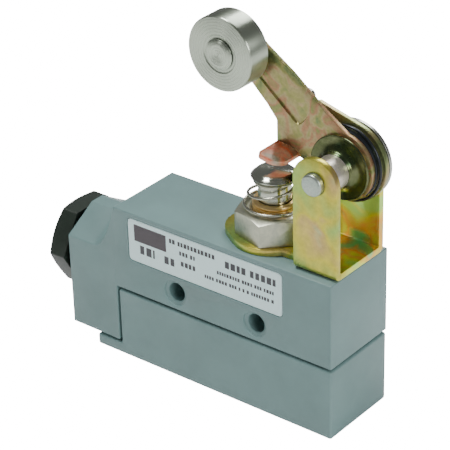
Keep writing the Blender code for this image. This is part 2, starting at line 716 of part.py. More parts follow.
def tongue_outline():
    """The bracket's tongue: egg-shaped round the bushing, necked before the uprights."""
    wide = PLUNGER_X - TONGUE_OFFSET
    tip = wide - TONGUE_TIP_OFFSET
    lean = (TONGUE_RADIUS - TONGUE_TIP_RADIUS) / TONGUE_TIP_OFFSET
    spread = atan2(sqrt(1 - lean * lean), lean)
    neck = NECK_WIDTH / 2
    mouth = atan2(neck, sqrt(TONGUE_RADIUS ** 2 - neck ** 2))
    end = BRACKET_LEFT + 2 * MM
    points = [(end, MID_Y + neck)]
    points += arc((wide, MID_Y), TONGUE_RADIUS, mouth, pi - spread, 9)
    points += arc((tip, MID_Y), TONGUE_TIP_RADIUS, pi - spread, pi + spread, 8)
    points += arc((wide, MID_Y), TONGUE_RADIUS, pi + spread, 2 * pi - mouth, 9)
    points += [(end, MID_Y - neck)]
    return points


def make_bracket():
    """The bent steel bracket: U section, round-topped uprights, tongue, pin holes and bushing hole."""
    bracket = plate("bracket", bracket_section(), BRACKET_LEFT, BRACKET_RIGHT, "YZ", YELLOW_ZINC)
    over = 2 * MM
    half = BRACKET_LENGTH / 2
    right, left = BRACKET_RIGHT + 0.5 * MM, BRACKET_LEFT - 0.5 * MM
    side = [(right, PIVOT_Z), *arc((PIVOT_X, PIVOT_Z), half, 0, pi, 16)[1:-1], (left, PIVOT_Z)]
    side += [(left, BRACKET_BASE - over), (right, BRACKET_BASE - over)]
    upright = plate("upright_profile", side, MID_Y - BRACKET_WIDTH, MID_Y + BRACKET_WIDTH, "XZ")
    combine(bracket, upright, "INTERSECT")
    combine(bracket, plate("tongue", tongue_outline(), BRACKET_BASE, BRACKET_TOP, "XY"), "UNION")
    combine(bracket, disc("pin_hole", PIN_RADIUS + SNUG, -BRACKET_WIDTH, BRACKET_WIDTH, PIVOT, "front"))
    combine(
        bracket,
        disc(
            "tongue_hole", BUSHING_RADIUS + FIT, BRACKET_BASE - over, BRACKET_TOP + over,
            (PLUNGER_X, MID_Y, 0), "up",
        ),
    )


def make_bushing_set():
    """The flanged brass bushing, its gasket inside the roof and its hexagon nut."""
    centre = (PLUNGER_X, MID_Y, 0)
    bore = BUSHING_BORE_RADIUS
    flange_low = FLANGE_HIGH - BUSHING_FLANGE_HEIGHT
    chamfer = 0.5 * MM
    profile = [
        (bore, BUSHING_TOP), (BUSHING_RADIUS - chamfer, BUSHING_TOP),
        (BUSHING_RADIUS, BUSHING_TOP - chamfer), (BUSHING_RADIUS, FLANGE_HIGH),
        (BUSHING_FLANGE_RADIUS, FLANGE_HIGH), (BUSHING_FLANGE_RADIUS, flange_low), (bore, flange_low),
    ]
    turned("bushing", profile, centre, "up", BRASS)
    gasket_low = FLANGE_HIGH + HAIRLINE
    ring(
        "bushing_gasket", BUSHING_RADIUS + FIT, BUSHING_FLANGE_RADIUS, gasket_low,
        gasket_low + GASKET_SHEET, centre, "up", RUBBER,
    )
    nut = hexagon(
        "bushing_nut", NUT_FLATS, NUT_LOW, NUT_TOP, centre, "up", radians(44), 0.5 * MM, BRIGHT_ZINC
    )
    combine(nut, disc("nut_bore", BUSHING_RADIUS + SNUG, NUT_LOW - MM, NUT_TOP + MM, centre, "up"))


def make_plunger_set():
    """Plunger with its cap, the conical return spring round it, the overtravel spring and drive pin inside."""
    centre = (PLUNGER_X, MID_Y, 0)
    cap_low = PLUNGER_TOP - CAP_HEIGHT
    bore_top = PLUNGER_TOP - PLUNGER_CROWN
    profile = [
        (0, PLUNGER_TOP), (CAP_FACE_RADIUS, PLUNGER_TOP), (CAP_RADIUS, cap_low + 0.5 * MM),
        (CAP_RADIUS, cap_low + 0.3 * MM),
        (PLUNGER_RADIUS, cap_low), (PLUNGER_RADIUS, PLUNGER_BOTTOM), (PLUNGER_BORE_RADIUS, PLUNGER_BOTTOM),
        (PLUNGER_BORE_RADIUS, bore_top), (0, bore_top),
    ]
    turned("plunger", profile, centre, "up", STEEL)

    spring_low = NUT_TOP + RETURN_WIRE + HAIRLINE
    spring_high = cap_low - RETURN_WIRE - HAIRLINE
    pitch = 2 * RETURN_WIRE + HAIRLINE
    seat_high = spring_low + RETURN_SEAT_TURNS * pitch
    end_low = spring_high - RETURN_END_TURNS * pitch

    def return_place(turn):
        angle = radians(28) + 2 * pi * turn
        if turn < RETURN_SEAT_TURNS:
            share, z = 0, spring_low + pitch * turn
        elif turn < RETURN_SEAT_TURNS + RETURN_ACTIVE_TURNS:
            share = (turn - RETURN_SEAT_TURNS) / RETURN_ACTIVE_TURNS
            z = seat_high + (end_low - seat_high) * share
        else:
            share, z = 1, end_low + pitch * (turn - RETURN_SEAT_TURNS - RETURN_ACTIVE_TURNS)
        radius = RETURN_WIDE_RADIUS + (RETURN_NARROW_RADIUS - RETURN_WIDE_RADIUS) * share
        return PLUNGER_X + radius * cos(angle), MID_Y + radius * sin(angle), z

    all_turns = RETURN_SEAT_TURNS + RETURN_ACTIVE_TURNS + RETURN_END_TURNS
    coil("return_spring", all_turns, 20, RETURN_WIRE, return_place, SPRING_STEEL)

    head_low = SWITCH_PIN_TOP + FIT + DRIVE_PIN_LENGTH - DRIVE_HEAD_HEIGHT
    head_high = head_low + DRIVE_HEAD_HEIGHT
    pin = [
        (0, head_high), (DRIVE_HEAD_RADIUS, head_high), (DRIVE_HEAD_RADIUS, head_low),
        (DRIVE_PIN_RADIUS, head_low),
        (DRIVE_PIN_RADIUS, SWITCH_PIN_TOP + FIT), (0, SWITCH_PIN_TOP + FIT),
    ]
    turned("drive_pin", pin, centre, "up", STEEL, SMALL_ROUND)

    inner_low = head_high + OVERTRAVEL_WIRE + HAIRLINE
    inner_high = bore_top - OVERTRAVEL_WIRE - HAIRLINE
    inner_radius = PLUNGER_BORE_RADIUS - OVERTRAVEL_WIRE - RUNNING
    inner_turns = 6

    def overtravel_place(turn):
        angle = 2 * pi * turn
        z = inner_low + (inner_high - inner_low) * turn / inner_turns
        return PLUNGER_X + inner_radius * cos(angle), MID_Y + inner_radius * sin(angle), z

    coil("overtravel_spring", inner_turns, 10, OVERTRAVEL_WIRE, overtravel_place, SPRING_STEEL)


def along_pin(y):
    """Height of a world Y on a piece turned to face the front from the pivot."""
    return MID_Y - y


def make_pivot_stack():
    """Pivot pin, retainer, collar, dished hub flange, thrust washer, spacer, torsion spring and back disc."""
    pin_front = MID_Y - BRACKET_HALF - PIN_PROUD
    pin_back = MID_Y + BRACKET_HALF + RETAINER_SHEET + 2 * HAIRLINE + FIT
    chamfer = 0.3 * MM
    front, back = along_pin(pin_front), along_pin(pin_back)
    pin = [
        (0, front), (PIN_RADIUS - chamfer, front), (PIN_RADIUS, front - chamfer), (PIN_RADIUS, back),
        (0, back),
    ]
    turned("pivot_pin", pin, PIVOT, "front", BRIGHT_ZINC)
    clip_front = MID_Y + BRACKET_HALF + HAIRLINE
    ring(
        "pin_retainer", PIN_RADIUS + SNUG, RETAINER_RADIUS, along_pin(clip_front + RETAINER_SHEET),
        along_pin(clip_front), PIVOT, "front", SPRING_STEEL, SMALL_ROUND,
    )

    rim_back = ARM_Y - THRUST_SHEET - 3 * HAIRLINE
    dish_front = rim_back - DISH_HEIGHT
    ring(
        "pin_collar", PIN_BORE_RADIUS, COLLAR_RADIUS, along_pin(dish_front - SNUG),
        along_pin(STACK_FRONT + SNUG), PIVOT, "front", BRIGHT_ZINC,
    )
    sleeve_back = ARM_BACK_Y + HAIRLINE
    top, rim = along_pin(dish_front), along_pin(rim_back)
    flange = [(PIN_BORE_RADIUS, top), (SLEEVE_RADIUS, top)]
    fillet_count = 4
    reach = DISH_RADIUS - 0.9 * MM - SLEEVE_RADIUS
    drop = DISH_HEIGHT - DISH_RIM
    for i in range(1, fillet_count + 1):
        angle = pi / 2 * i / fillet_count
        flange.append((SLEEVE_RADIUS + reach * (1 - cos(angle)), top - drop * sin(angle)))
    flange += [
        (DISH_RADIUS, rim + DISH_RIM), (DISH_RADIUS, rim), (SLEEVE_RADIUS, rim),
        (SLEEVE_RADIUS, along_pin(sleeve_back)),
        (PIN_BORE_RADIUS, along_pin(sleeve_back)),
    ]
    turned("hub_flange", flange, PIVOT, "front", YELLOW_ZINC)
    washer_front = rim_back + HAIRLINE
    ring(
        "thrust_washer", SLEEVE_RADIUS + SNUG, THRUST_RADIUS, along_pin(washer_front + THRUST_SHEET),
        along_pin(washer_front), PIVOT, "front", YELLOW_ZINC,
    )

    spacer_front, spacer_back = sleeve_back + HAIRLINE, DOG_Y - HAIRLINE
    ring(
        "pivot_spacer", PIN_BORE_RADIUS, SPACER_RADIUS, along_pin(spacer_back), along_pin(spacer_front),
        PIVOT, "front", BLACK_STEEL,
    )
    coil_radius = SPACER_RADIUS + TORSION_WIRE + RUNNING
    coil_front = (ARM_BACK_Y + DOG_Y - TORSION_PITCH * TORSION_TURNS) / 2

    def torsion_place(turn):
        angle = radians(200) + 2 * pi * turn
        y = coil_front + TORSION_PITCH * turn
        return PIVOT_X + coil_radius * cos(angle), y, PIVOT_Z + coil_radius * sin(angle)

    coil("torsion_spring", TORSION_TURNS, 28, TORSION_WIRE, torsion_place, BLACK_STEEL)
    disc_back = STACK_BACK - FIT
    ring(
        "pivot_washer", PIN_BORE_RADIUS, DISC_RADIUS, along_pin(disc_back),
        along_pin(disc_back - DISC_SHEET), PIVOT, "front", BRIGHT_ZINC,
    )


def arm_point(along, across):
    """A place on the arm: along from the pivot to the roller, across to its upper right."""
    direction = Vector((cos(ARM_ANGLE), sin(ARM_ANGLE)))
    return PIVOT_X + direction.x * along + direction.y * across, PIVOT_Z + direction.y * along - direction.x * across


def make_roller_arm():
    """The flat lever from the hub to the roller, wider at the hub, with the drive stud on its back."""
    roller = (ROLLER_X, ROLLER_Z)
    outline = arc(roller, ARM_TIP_RADIUS, ARM_ANGLE - pi / 2, ARM_ANGLE + pi / 2, 8)
    outline += [arm_point(ARM_LEFT_KNEE, -ARM_LEFT_KNEE_OUT), arm_point(ARM_LEFT_FOOT, -ARM_LEFT)]
    outline += arc((PIVOT_X, PIVOT_Z), HUB_RADIUS, ARM_ANGLE + radians(62), ARM_ANGLE + radians(300), 20)
    outline += [arm_point(ARM_RIGHT_FOOT, ARM_RIGHT)]
    arm = plate("roller_arm", outline, ARM_Y, ARM_BACK_Y, "XZ", YELLOW_ZINC)
    hinge_on(arm, PIVOT)
    combine(arm, disc("hub_hole", SLEEVE_RADIUS + SNUG, -BODY_DEPTH, BODY_DEPTH, PIVOT, "front"))
    combine(
        arm,
        disc(
            "rivet_hole", RIVET_RADIUS + SNUG, -BODY_DEPTH, BODY_DEPTH, (ROLLER_X, MID_Y, ROLLER_Z),
            "front", steps=SMALL_ROUND,
        ),
    )
    channel = [
        arm_point(CHANNEL_END, -CHANNEL_LEFT), arm_point(CHANNEL_START + MM, -CHANNEL_LEFT),
        arm_point(CHANNEL_START, 1.5 * MM - CHANNEL_LEFT),
        arm_point(CHANNEL_START, CHANNEL_RIGHT - 1.5 * MM),
        arm_point(CHANNEL_START + MM, CHANNEL_RIGHT), arm_point(CHANNEL_END, CHANNEL_RIGHT),
    ]
    combine(arm, plate("channel", channel, ARM_Y - MM, ARM_Y + CHANNEL_DEPTH, "XZ"))
    stud_x, stud_z = PIVOT_X + STUD_REACH * cos(STUD_ANGLE), PIVOT_Z + STUD_REACH * sin(STUD_ANGLE)
    stud_front, stud_back = ARM_BACK_Y + HAIRLINE, DOG_BACK_Y + FIT
    disc(
        "arm_stud", STUD_RADIUS, along_pin(stud_back), along_pin(stud_front), (stud_x, MID_Y, stud_z),
        "front", BRIGHT_ZINC, SMALL_ROUND,
    )


def make_roller():
    """The turned roller, its rivet and the standoff collar behind it."""
    centre = (ROLLER_X, MID_Y, ROLLER_Z)
    front, back = along_pin(ROLLER_FRONT), along_pin(ROLLER_BACK)
    bore, rim = RIVET_RADIUS + RUNNING, ROLLER_RADIUS - ROLLER_CHAMFER
    profile = [
        (bore, front), (rim, front), (ROLLER_RADIUS, front - ROLLER_CHAMFER),
        (ROLLER_RADIUS, back + ROLLER_CHAMFER), (rim, back), (bore, back),
    ]
    turned("roller", profile, centre, "front", STEEL)
    head_low = front + SNUG
    tail_high = along_pin(ARM_BACK_Y + HAIRLINE)
    rivet = [
        (0, head_low + RIVET_HEAD_HEIGHT), (0.8 * RIVET_HEAD_RADIUS, head_low + RIVET_HEAD_HEIGHT),
        (RIVET_HEAD_RADIUS, head_low + 0.7 * RIVET_HEAD_HEIGHT),
        (RIVET_HEAD_RADIUS, head_low), (RIVET_RADIUS, head_low), (RIVET_RADIUS, tail_high),
        (RIVET_TAIL_RADIUS, tail_high),
        (RIVET_TAIL_RADIUS, tail_high - 0.6 * RIVET_TAIL_HEIGHT),
        (0.7 * RIVET_TAIL_RADIUS, tail_high - RIVET_TAIL_HEIGHT), (0, tail_high - RIVET_TAIL_HEIGHT),
    ]
    turned("roller_rivet", rivet, centre, "front", STEEL, SMALL_ROUND)
    ring(
        "roller_standoff", RIVET_RADIUS + SNUG, RIVET_TAIL_RADIUS, along_pin(ARM_Y - SNUG),
        along_pin(ROLLER_BACK + SNUG), centre, "front", BRIGHT_ZINC, SMALL_ROUND,
    )


def make_trip_dog():
    """The dog behind the arm: round hub plate, shoulder, and a tilted foot bent forward over the plunger."""
    along = Vector((cos(FOOT_TILT), -sin(FOOT_TILT)))
    normal = Vector((sin(FOOT_TILT), cos(FOOT_TILT)))
    pivot = Vector((PIVOT_X, PIVOT_Z))
    under = pivot - normal * FOOT_DROP
    reach = (FOOT_LEFT - under.x) / along.x
    left_low = under + along * reach
    right_low = left_low + along * FOOT_WIDTH
    left_high = left_low + normal * DOG_SHEET
    hub = DOG_HUB_RADIUS
    shoulder = Vector((DOG_SHOULDER_X, left_high.y + DOG_BACK_HEIGHT + DOG_SHOULDER_RISE))
    outline = [tuple(left_low), tuple(right_low)]
    span = pivot - right_low
    low_tangent = atan2(span.y, span.x) - pi / 2 - atan2(hub, sqrt(span.length_squared - hub * hub))
    outline += arc((PIVOT_X, PIVOT_Z), hub, low_tangent, radians(75), 15)
    outline += [
        (PIVOT_X - hub * 0.9, PIVOT_Z + hub + DOG_CREST), tuple(shoulder),
        (left_low.x, left_high.y + DOG_BACK_HEIGHT),
    ]
    dog = plate("trip_dog", outline, DOG_Y, DOG_BACK_Y, "XZ", YELLOW_ZINC)
    hinge_on(dog, PIVOT)
    combine(dog, disc("dog_hole", PIN_BORE_RADIUS, -BODY_DEPTH, BODY_DEPTH, PIVOT, "front"))
    half = FOOT_WIDTH / 2
    foot_back = DOG_BACK_Y - DOG_SHEET / 4
    tip = DOG_Y - FOOT_LENGTH
    left, right = FOOT_LEFT_CORNER, FOOT_RIGHT_CORNER
    foot_outline = [(half, foot_back), (-half, foot_back)]
    foot_outline += arc((left - half, tip + left), left, pi, 1.5 * pi, 5)
    foot_outline += arc((half - right, tip + right), right, 1.5 * pi, 2 * pi, 6)
    foot = plate("foot", foot_outline, 0, DOG_SHEET, "XY")
    middle = left_low + along * half
    foot.matrix_world = Matrix.Translation((middle.x, 0, middle.y)) @ Matrix.Rotation(FOOT_TILT, 4, "Y")
    combine(dog, foot, "UNION")


def make_gland():
    """Cable gland in the conduit bore: threaded body, hexagon cap and rubber seal, all with the cable bore."""
    centre = (0, MID_Y, CONDUIT_Z)
    inside = -(CHAMBER_LEFT + GLAND_INSIDE)
    neck_low = -BOSS_END + HAIRLINE
    body = [
        (GLAND_BORE_RADIUS, -GLAND_OUTSIDE), (GLAND_NECK_RADIUS, -GLAND_OUTSIDE),
        (GLAND_NECK_RADIUS, neck_low), (GLAND_THREAD_RADIUS, neck_low),
        (GLAND_THREAD_RADIUS, inside), (GLAND_BORE_RADIUS, inside),
    ]
    turned("gland_body", body, centre, "left", GLAND_PLASTIC)
    nut_low = -GLAND_OUTSIDE + HAIRLINE
    nut = hexagon(
        "gland_nut", GLAND_FLATS, nut_low, -GLAND_NUT_FAR, centre, "left", radians(90), 0.6 * MM,
        GLAND_PLASTIC,
    )
    combine(
        nut,
        disc("gland_nut_bore", GLAND_BORE_RADIUS, nut_low - MM, -GLAND_NUT_FAR + MM, centre, "left"),
    )
    pocket = nut_low + GLAND_SEAL_LENGTH + 2 * SNUG
    combine(nut, disc("seal_pocket", GLAND_SEAL_RADIUS + SNUG, nut_low - MM, pocket, centre, "left"))
    seal_low = nut_low + SNUG
    ring(
        "gland_seal", GLAND_SEAL_BORE_RADIUS, GLAND_SEAL_RADIUS, seal_low, seal_low + GLAND_SEAL_LENGTH,
        centre, "left", RUBBER,
    )


def make_switch_case():
    """The snap switch's case, open below, slotted over the two mounting tubes, and its base plate."""
    half = CASE_LENGTH / 2
    case = box(
        "switch_case", (-half, MID_Y - CASE_HALF, CASE_BOTTOM), (half, MID_Y + CASE_HALF, CASE_TOP),
        PHENOLIC,
    )
    inner = half - CASE_WALL
    combine(
        case,
        box(
            "case_cavity", (-inner, MID_Y - CASE_HALF + CASE_WALL, CASE_BOTTOM - MM),
            (inner, MID_Y + CASE_HALF - CASE_WALL, CASE_TOP - CASE_WALL),
        ),
    )
    slot_radius = HOLE_TUBE_RADIUS + FIT
    for index, x in enumerate(HOLE_XS):
        low = CASE_BOTTOM - MM
        slot = arc((x, 0), slot_radius, 0, pi, 12) + [(x - slot_radius, low), (x + slot_radius, low)]
        combine(case, plate(f"tube_slot_{index}", slot, FRONT, BACK, "XZ"))
    combine(
        case,
        disc(
            "pin_way", SWITCH_PIN_RADIUS + RUNNING, CASE_TOP - 2 * CASE_WALL, CASE_TOP + MM,
            (PLUNGER_X, MID_Y, 0), "up", steps=SMALL_ROUND,
        ),
    )
    base = box(
        "switch_base", (-half + SNUG, MID_Y - CASE_HALF, BASE_LOW),
        (half - SNUG, MID_Y + CASE_HALF, BASE_HIGH), PHENOLIC,
    )
    for index, x in enumerate((-CONTACT_X, 0, CONTACT_X)):
        combine(
            base,
            disc(
                f"post_way_{index}", POST_PIN_RADIUS + SNUG, BASE_LOW - MM, BASE_HIGH + MM,
                (x, MID_Y, 0), "up", steps=SMALL_ROUND,
            ),
        )


def make_switch_works():
    """Pin, blade and contacts inside the case, and the three screw terminals under its base."""
    half_sheet = BLADE_SHEET / 2
    turned("switch_pin", [(0, SWITCH_PIN_TOP), (0.7 * SWITCH_PIN_RADIUS, SWITCH_PIN_TOP), (
        SWITCH_PIN_RADIUS, SWITCH_PIN_TOP - 0.4 * MM
    ),
                          (SWITCH_PIN_RADIUS, SWITCH_PIN_BOTTOM), (0, SWITCH_PIN_BOTTOM)], (PLUNGER_X,
                          MID_Y, 0), "up", RED_PLASTIC, SMALL_ROUND)
    half_width = BLADE_WIDTH / 2
    end = CONTACT_X + BLADE_REACH
    blade = box(
        "snap_blade", (-end, MID_Y - half_width, BLADE_Z - half_sheet),
        (end, MID_Y + half_width, BLADE_Z + half_sheet), COPPER,
    )
    hinge_on(blade, (-CONTACT_X, MID_Y, BLADE_Z))
    combine(
        blade,
        disc(
            "contact_hole", CONTACT_SHANK_RADIUS + SNUG, BLADE_Z - MM, BLADE_Z + MM,
            (CONTACT_X, MID_Y, 0), "up", steps=SMALL_ROUND,
        ),
    )
    head = half_sheet + SNUG
    rivet = [
        (0, head + CONTACT_HEAD), (CONTACT_RADIUS, head + CONTACT_HEAD), (CONTACT_RADIUS, head),
        (CONTACT_SHANK_RADIUS, head),
        (CONTACT_SHANK_RADIUS, -head), (CONTACT_RADIUS, -head), (CONTACT_RADIUS, -head - CONTACT_HEAD),
        (0, -head - CONTACT_HEAD),
    ]
    turned("moving_contact", rivet, (CONTACT_X, MID_Y, BLADE_Z), "up", SILVER, SMALL_ROUND)
    face_high = BLADE_Z + head + CONTACT_HEAD + SNUG
    face_low = BLADE_Z - head - CONTACT_HEAD - CONTACT_TRAVEL - SNUG
    roof = CASE_TOP - CASE_WALL - HAIRLINE
    disc("upper_contact", CONTACT_RADIUS, face_high, roof, (CONTACT_X, MID_Y, 0), "up", SILVER, SMALL_ROUND)
    anchor = BLADE_Z - half_sheet - SNUG
    middle_top = BASE_HIGH + 6 * MM
    tops = {
        "common": (-CONTACT_X, anchor), "normally_closed": (0, middle_top),
        "normally_open": (CONTACT_X, face_low),
    }
    for index, (name, (x, top)) in enumerate(tops.items()):
        make_terminal(name, index, x, top)


def make_terminal(name, index, x, top):
    """A terminal: flat tab under the base with a post up to its contact, and its binding screw from below."""
    low = TERMINAL_HIGH - TERMINAL_SHEET
    half_width = TERMINAL_WIDTH / 2
    tab = box(
        f"terminal_{name}", (x - TERMINAL_LENGTH / 2, MID_Y - half_width, low),
        (x + TERMINAL_LENGTH / 2, MID_Y + half_width, TERMINAL_HIGH), BRASS,
    )
    combine(
        tab,
        disc(
            f"terminal_post_{index}", POST_PIN_RADIUS, low + TERMINAL_SHEET / 2, top, (x, MID_Y, 0),
            "up", steps=SMALL_ROUND,
        ),
        "UNION",
    )
    seat = low - SNUG
    length = TERMINAL_HIGH - seat - SNUG
    screw_y = MID_Y - half_width + TERMINAL_SCREW_RADIUS + MM
    combine(
        tab,
        disc(
            f"terminal_thread_{index}", TERMINAL_SCREW_RADIUS + SNUG, low - MM, TERMINAL_HIGH + MM,
            (x, screw_y, 0), "up", steps=SMALL_ROUND,
        ),
    )
    pan_head_screw(
        f"terminal_screw_{index + 1}", (x, screw_y, seat), "up", TERMINAL_SCREW_RADIUS, length,
        TERMINAL_HEAD_RADIUS, TERMINAL_HEAD_HEIGHT,
    )


def make_ground_screw():
    x, y, _ = GROUND_PLACE
    pan_head_screw(
        "ground_screw", (x, y, CHAMBER_TOP - SNUG), "up", SCREW_RADIUS, 3 * MM, SCREW_HEAD_RADIUS,
        SCREW_HEAD_HEIGHT,
    )


def shade_round_pieces():
    for obj in PARTS.objects:
        if obj.type == "MESH":
            obj.data.shade_smooth()
            obj.data.set_sharp_from_angle(angle=radians(32))


make_housing()
make_cover()
make_cover_fittings()
make_nameplate()
make_bracket()
make_bushing_set()
make_plunger_set()
make_pivot_stack()
make_roller_arm()
make_roller()
make_trip_dog()
make_gland()
make_switch_case()
make_switch_works()
make_ground_screw()
shade_round_pieces()
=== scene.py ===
"""Enclosed roller-arm limit switch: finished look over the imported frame, in metres."""

import json
import random
from math import atan2, cos, pi, radians, sin, sqrt, tan

import bmesh
import bpy
from mathutils import Matrix, Vector


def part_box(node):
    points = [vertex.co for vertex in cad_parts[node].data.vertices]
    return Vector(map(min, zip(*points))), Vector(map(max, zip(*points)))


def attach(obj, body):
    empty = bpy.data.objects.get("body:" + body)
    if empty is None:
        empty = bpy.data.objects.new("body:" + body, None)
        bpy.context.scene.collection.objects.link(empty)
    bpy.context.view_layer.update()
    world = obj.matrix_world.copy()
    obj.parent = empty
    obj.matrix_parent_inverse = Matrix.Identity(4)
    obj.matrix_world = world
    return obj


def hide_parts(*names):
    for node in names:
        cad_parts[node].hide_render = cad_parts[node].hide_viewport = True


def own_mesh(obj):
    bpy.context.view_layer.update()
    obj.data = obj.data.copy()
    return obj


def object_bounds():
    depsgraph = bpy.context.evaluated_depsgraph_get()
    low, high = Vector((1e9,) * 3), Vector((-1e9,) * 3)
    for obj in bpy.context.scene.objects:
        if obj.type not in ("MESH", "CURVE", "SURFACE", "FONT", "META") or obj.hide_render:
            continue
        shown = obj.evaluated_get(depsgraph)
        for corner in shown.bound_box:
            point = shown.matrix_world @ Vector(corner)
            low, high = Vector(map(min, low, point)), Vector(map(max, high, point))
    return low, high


MM = 0.001

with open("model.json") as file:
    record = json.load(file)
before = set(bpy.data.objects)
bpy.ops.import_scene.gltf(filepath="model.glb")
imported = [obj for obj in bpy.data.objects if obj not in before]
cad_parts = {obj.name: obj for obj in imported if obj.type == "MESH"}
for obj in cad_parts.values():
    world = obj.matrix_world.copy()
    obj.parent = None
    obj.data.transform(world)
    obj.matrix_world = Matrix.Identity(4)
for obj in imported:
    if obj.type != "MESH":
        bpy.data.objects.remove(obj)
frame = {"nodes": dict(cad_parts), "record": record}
cad_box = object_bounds()

# Body box
FRONT = -24.3 * MM
BACK = -0.7 * MM
MID_Y = -12.5 * MM
RIGHT_END = 36.1 * MM
LEFT_END = -32.1 * MM
HOUSING_SEAM = -32.4 * MM
COVER_LEFT = -31.8 * MM
HEEL_END = -40.2 * MM
BOSS_END = -48.6 * MM
TOP = 18.9 * MM
BOTTOM = -25.0 * MM
HOUSING_LOW = -4.52 * MM
COVER_HIGH = -5.22 * MM
BOSS_TOP = 11.15 * MM
BOSS_BOTTOM = -21.0 * MM
LIP_TOP = -21.7 * MM
HOLE_X = 12.7 * MM
CONDUIT_Z = -2.05 * MM

# Lever bracket and pivot
BRACKET_RIGHT = 36.2 * MM
BRACKET_LENGTH = 12.7 * MM
BRACKET_LEFT = BRACKET_RIGHT - BRACKET_LENGTH
BRACKET_HALF = 9.8 * MM
BRACKET_BASE = 19.0 * MM
BRACKET_TOP = 20.8 * MM
SHEET = 1.8 * MM
BRACKET_FRONT_INSIDE = MID_Y - BRACKET_HALF + SHEET
PIVOT_X = 29.85 * MM
PIVOT_Z = 43.65 * MM
PLUNGER_X = 10.8 * MM
ARM_Y = -11.3 * MM
ARM_BACK_Y = -10.1 * MM
DOG_Y = -7.75 * MM
DOG_BACK_Y = -6.45 * MM

PIN_RADIUS = 2.85 * MM
PIN_BORE = 3.1 * MM
BUSHING_WAY = 5.9 * MM

# Roller arm
ARM_RADIUS = 38.1 * MM
ROLLER_RADIUS = 9.525 * MM
ROLLER_FRONT = -20.0 * MM
ROLLER_BACK = -13.2 * MM
ARM_ANGLE = radians(140.0)
ROLLER_X = PIVOT_X + ARM_RADIUS * cos(ARM_ANGLE)
ROLLER_Z = PIVOT_Z + ARM_RADIUS * sin(ARM_ANGLE)

# Hub, drum and dog
HUB_RADIUS = 8.8 * MM
DRUM_RADIUS = 9.0 * MM
DISH_RADIUS = 8.3 * MM
DOG_HUB_RADIUS = 10.3 * MM
DOG_CREST = 2.8 * MM
DOG_BACK_HEIGHT = 6.7 * MM
FOOT_LEFT = 8.0 * MM
FOOT_LENGTH = 8.45 * MM

# Conduit boss: where it starts to grow, over what length, and its end's shape
GROW_START = -40.4 * MM
GROW_LENGTH = 8.3 * MM
GROW_POWER = 2.4
GROW_STEPS = 12
SHOULDER_Z = 5.35 * MM
SHOULDER_RUN = 9.8 * MM

# Return spring round the plunger
PLUNGER_RADIUS = 4.15 * MM
SPRING_SEAT = 27.7 * MM
SPRING_WIRE = 0.38 * MM
SPRING_WIDE = 7.6 * MM
SPRING_GAP = 0.1 * MM
SEAT_TURNS = 1.2
ACTIVE_TURNS = 0.85
END_TURNS = 1.0

# Edges, cutters and the smoothness of round pieces
EDGE = 0.22 * MM
THROUGH = 20 * MM
FINE = 96
PLANES = {
    "XY": Matrix.Identity(3),
    "XZ": Matrix(((1, 0, 0), (0, 0, -1), (0, 1, 0))),
    "YZ": Matrix(((0, 0, 1), (1, 0, 0), (0, 1, 0))),
}
# Which way a turned piece's own +Z points
TURNED = {
    "up": Matrix.Identity(3),
    "front": Matrix.Rotation(pi / 2, 3, "X"),
    "left": Matrix.Rotation(-pi / 2, 3, "Y"),
}


# ---------------------------------------------------------------- finishes

def new_material(name, color, metallic=0.0, roughness=0.5):
    material = bpy.data.materials.new(name)
    material.use_nodes = True
    shader = material.node_tree.nodes["Principled BSDF"]
    shader.inputs["Base Color"].default_value = (*color, 1)
    shader.inputs["Metallic"].default_value = metallic
    shader.inputs["Roughness"].default_value = roughness
    return material, material.node_tree, shader


def plain(name, color, metallic, roughness):
    """One even finish."""
    return new_material(name, color, metallic, roughness)[0]


def node(tree, kind, **values):
    made = tree.nodes.new(kind)
    for key, value in values.items():
        if key in made.inputs:
            made.inputs[key].default_value = value
        else:
            setattr(made, key, value)
    return made


def noise(tree, scale, detail=3.0, roughness=0.5, distortion=0.0, offset=(0, 0, 0), stretch=(1, 1, 1)):
    """A noise on Object coordinates, shifted and stretched."""
    coordinates = tree.nodes.new("ShaderNodeTexCoord")
    mapping = tree.nodes.new("ShaderNodeMapping")
    mapping.inputs["Location"].default_value = offset
    mapping.inputs["Scale"].default_value = stretch
    tree.links.new(coordinates.outputs["Object"], mapping.inputs["Vector"])
    made = node(
        tree, "ShaderNodeTexNoise", Scale=scale, Detail=detail, Roughness=roughness,
        Distortion=distortion,
    )
    tree.links.new(mapping.outputs[0], made.inputs["Vector"])
    return made.outputs[0]


def ramp(tree, factor, stops):
    """A colour ramp of (position, colour) stops."""
    made = tree.nodes.new("ShaderNodeValToRGB")
    elements = made.color_ramp.elements
    while len(elements) < len(stops):
        elements.new(0.5)
    for element, (position, color) in zip(elements, stops):
        element.position = position
        element.color = (*color, 1)
    tree.links.new(factor, made.inputs["Fac"])
    return made.outputs["Color"]


def bump(tree, shader, height, strength, distance):
    made = node(tree, "ShaderNodeBump", Strength=strength, Distance=distance)
    tree.links.new(height, made.inputs["Height"])
    tree.links.new(made.outputs[0], shader.inputs["Normal"])


def roughness_from(tree, shader, factor, low, high):
    made = node(tree, "ShaderNodeMapRange")
    made.inputs["To Min"].default_value = low
    made.inputs["To Max"].default_value = high
    tree.links.new(factor, made.inputs["Value"])
    tree.links.new(made.outputs[0], shader.inputs["Roughness"])


def cast_paint():
    """Semi-gloss enamel on a die casting: faint mottle and a fine orange peel."""
    material, tree, shader = new_material("grey_green_enamel", PAINT_COLOR, 0.0, 0.42)
    dark = tuple(0.95 * c for c in PAINT_COLOR)
    light = tuple(1.05 * c for c in PAINT_COLOR)
    tree.links.new(
        ramp(tree, noise(tree, 90, 4), [(0.35, dark), (0.65, light)]), shader.inputs["Base Color"]
    )
    bump(tree, shader, noise(tree, 1400, 2), 0.06, 0.0002)
    return material


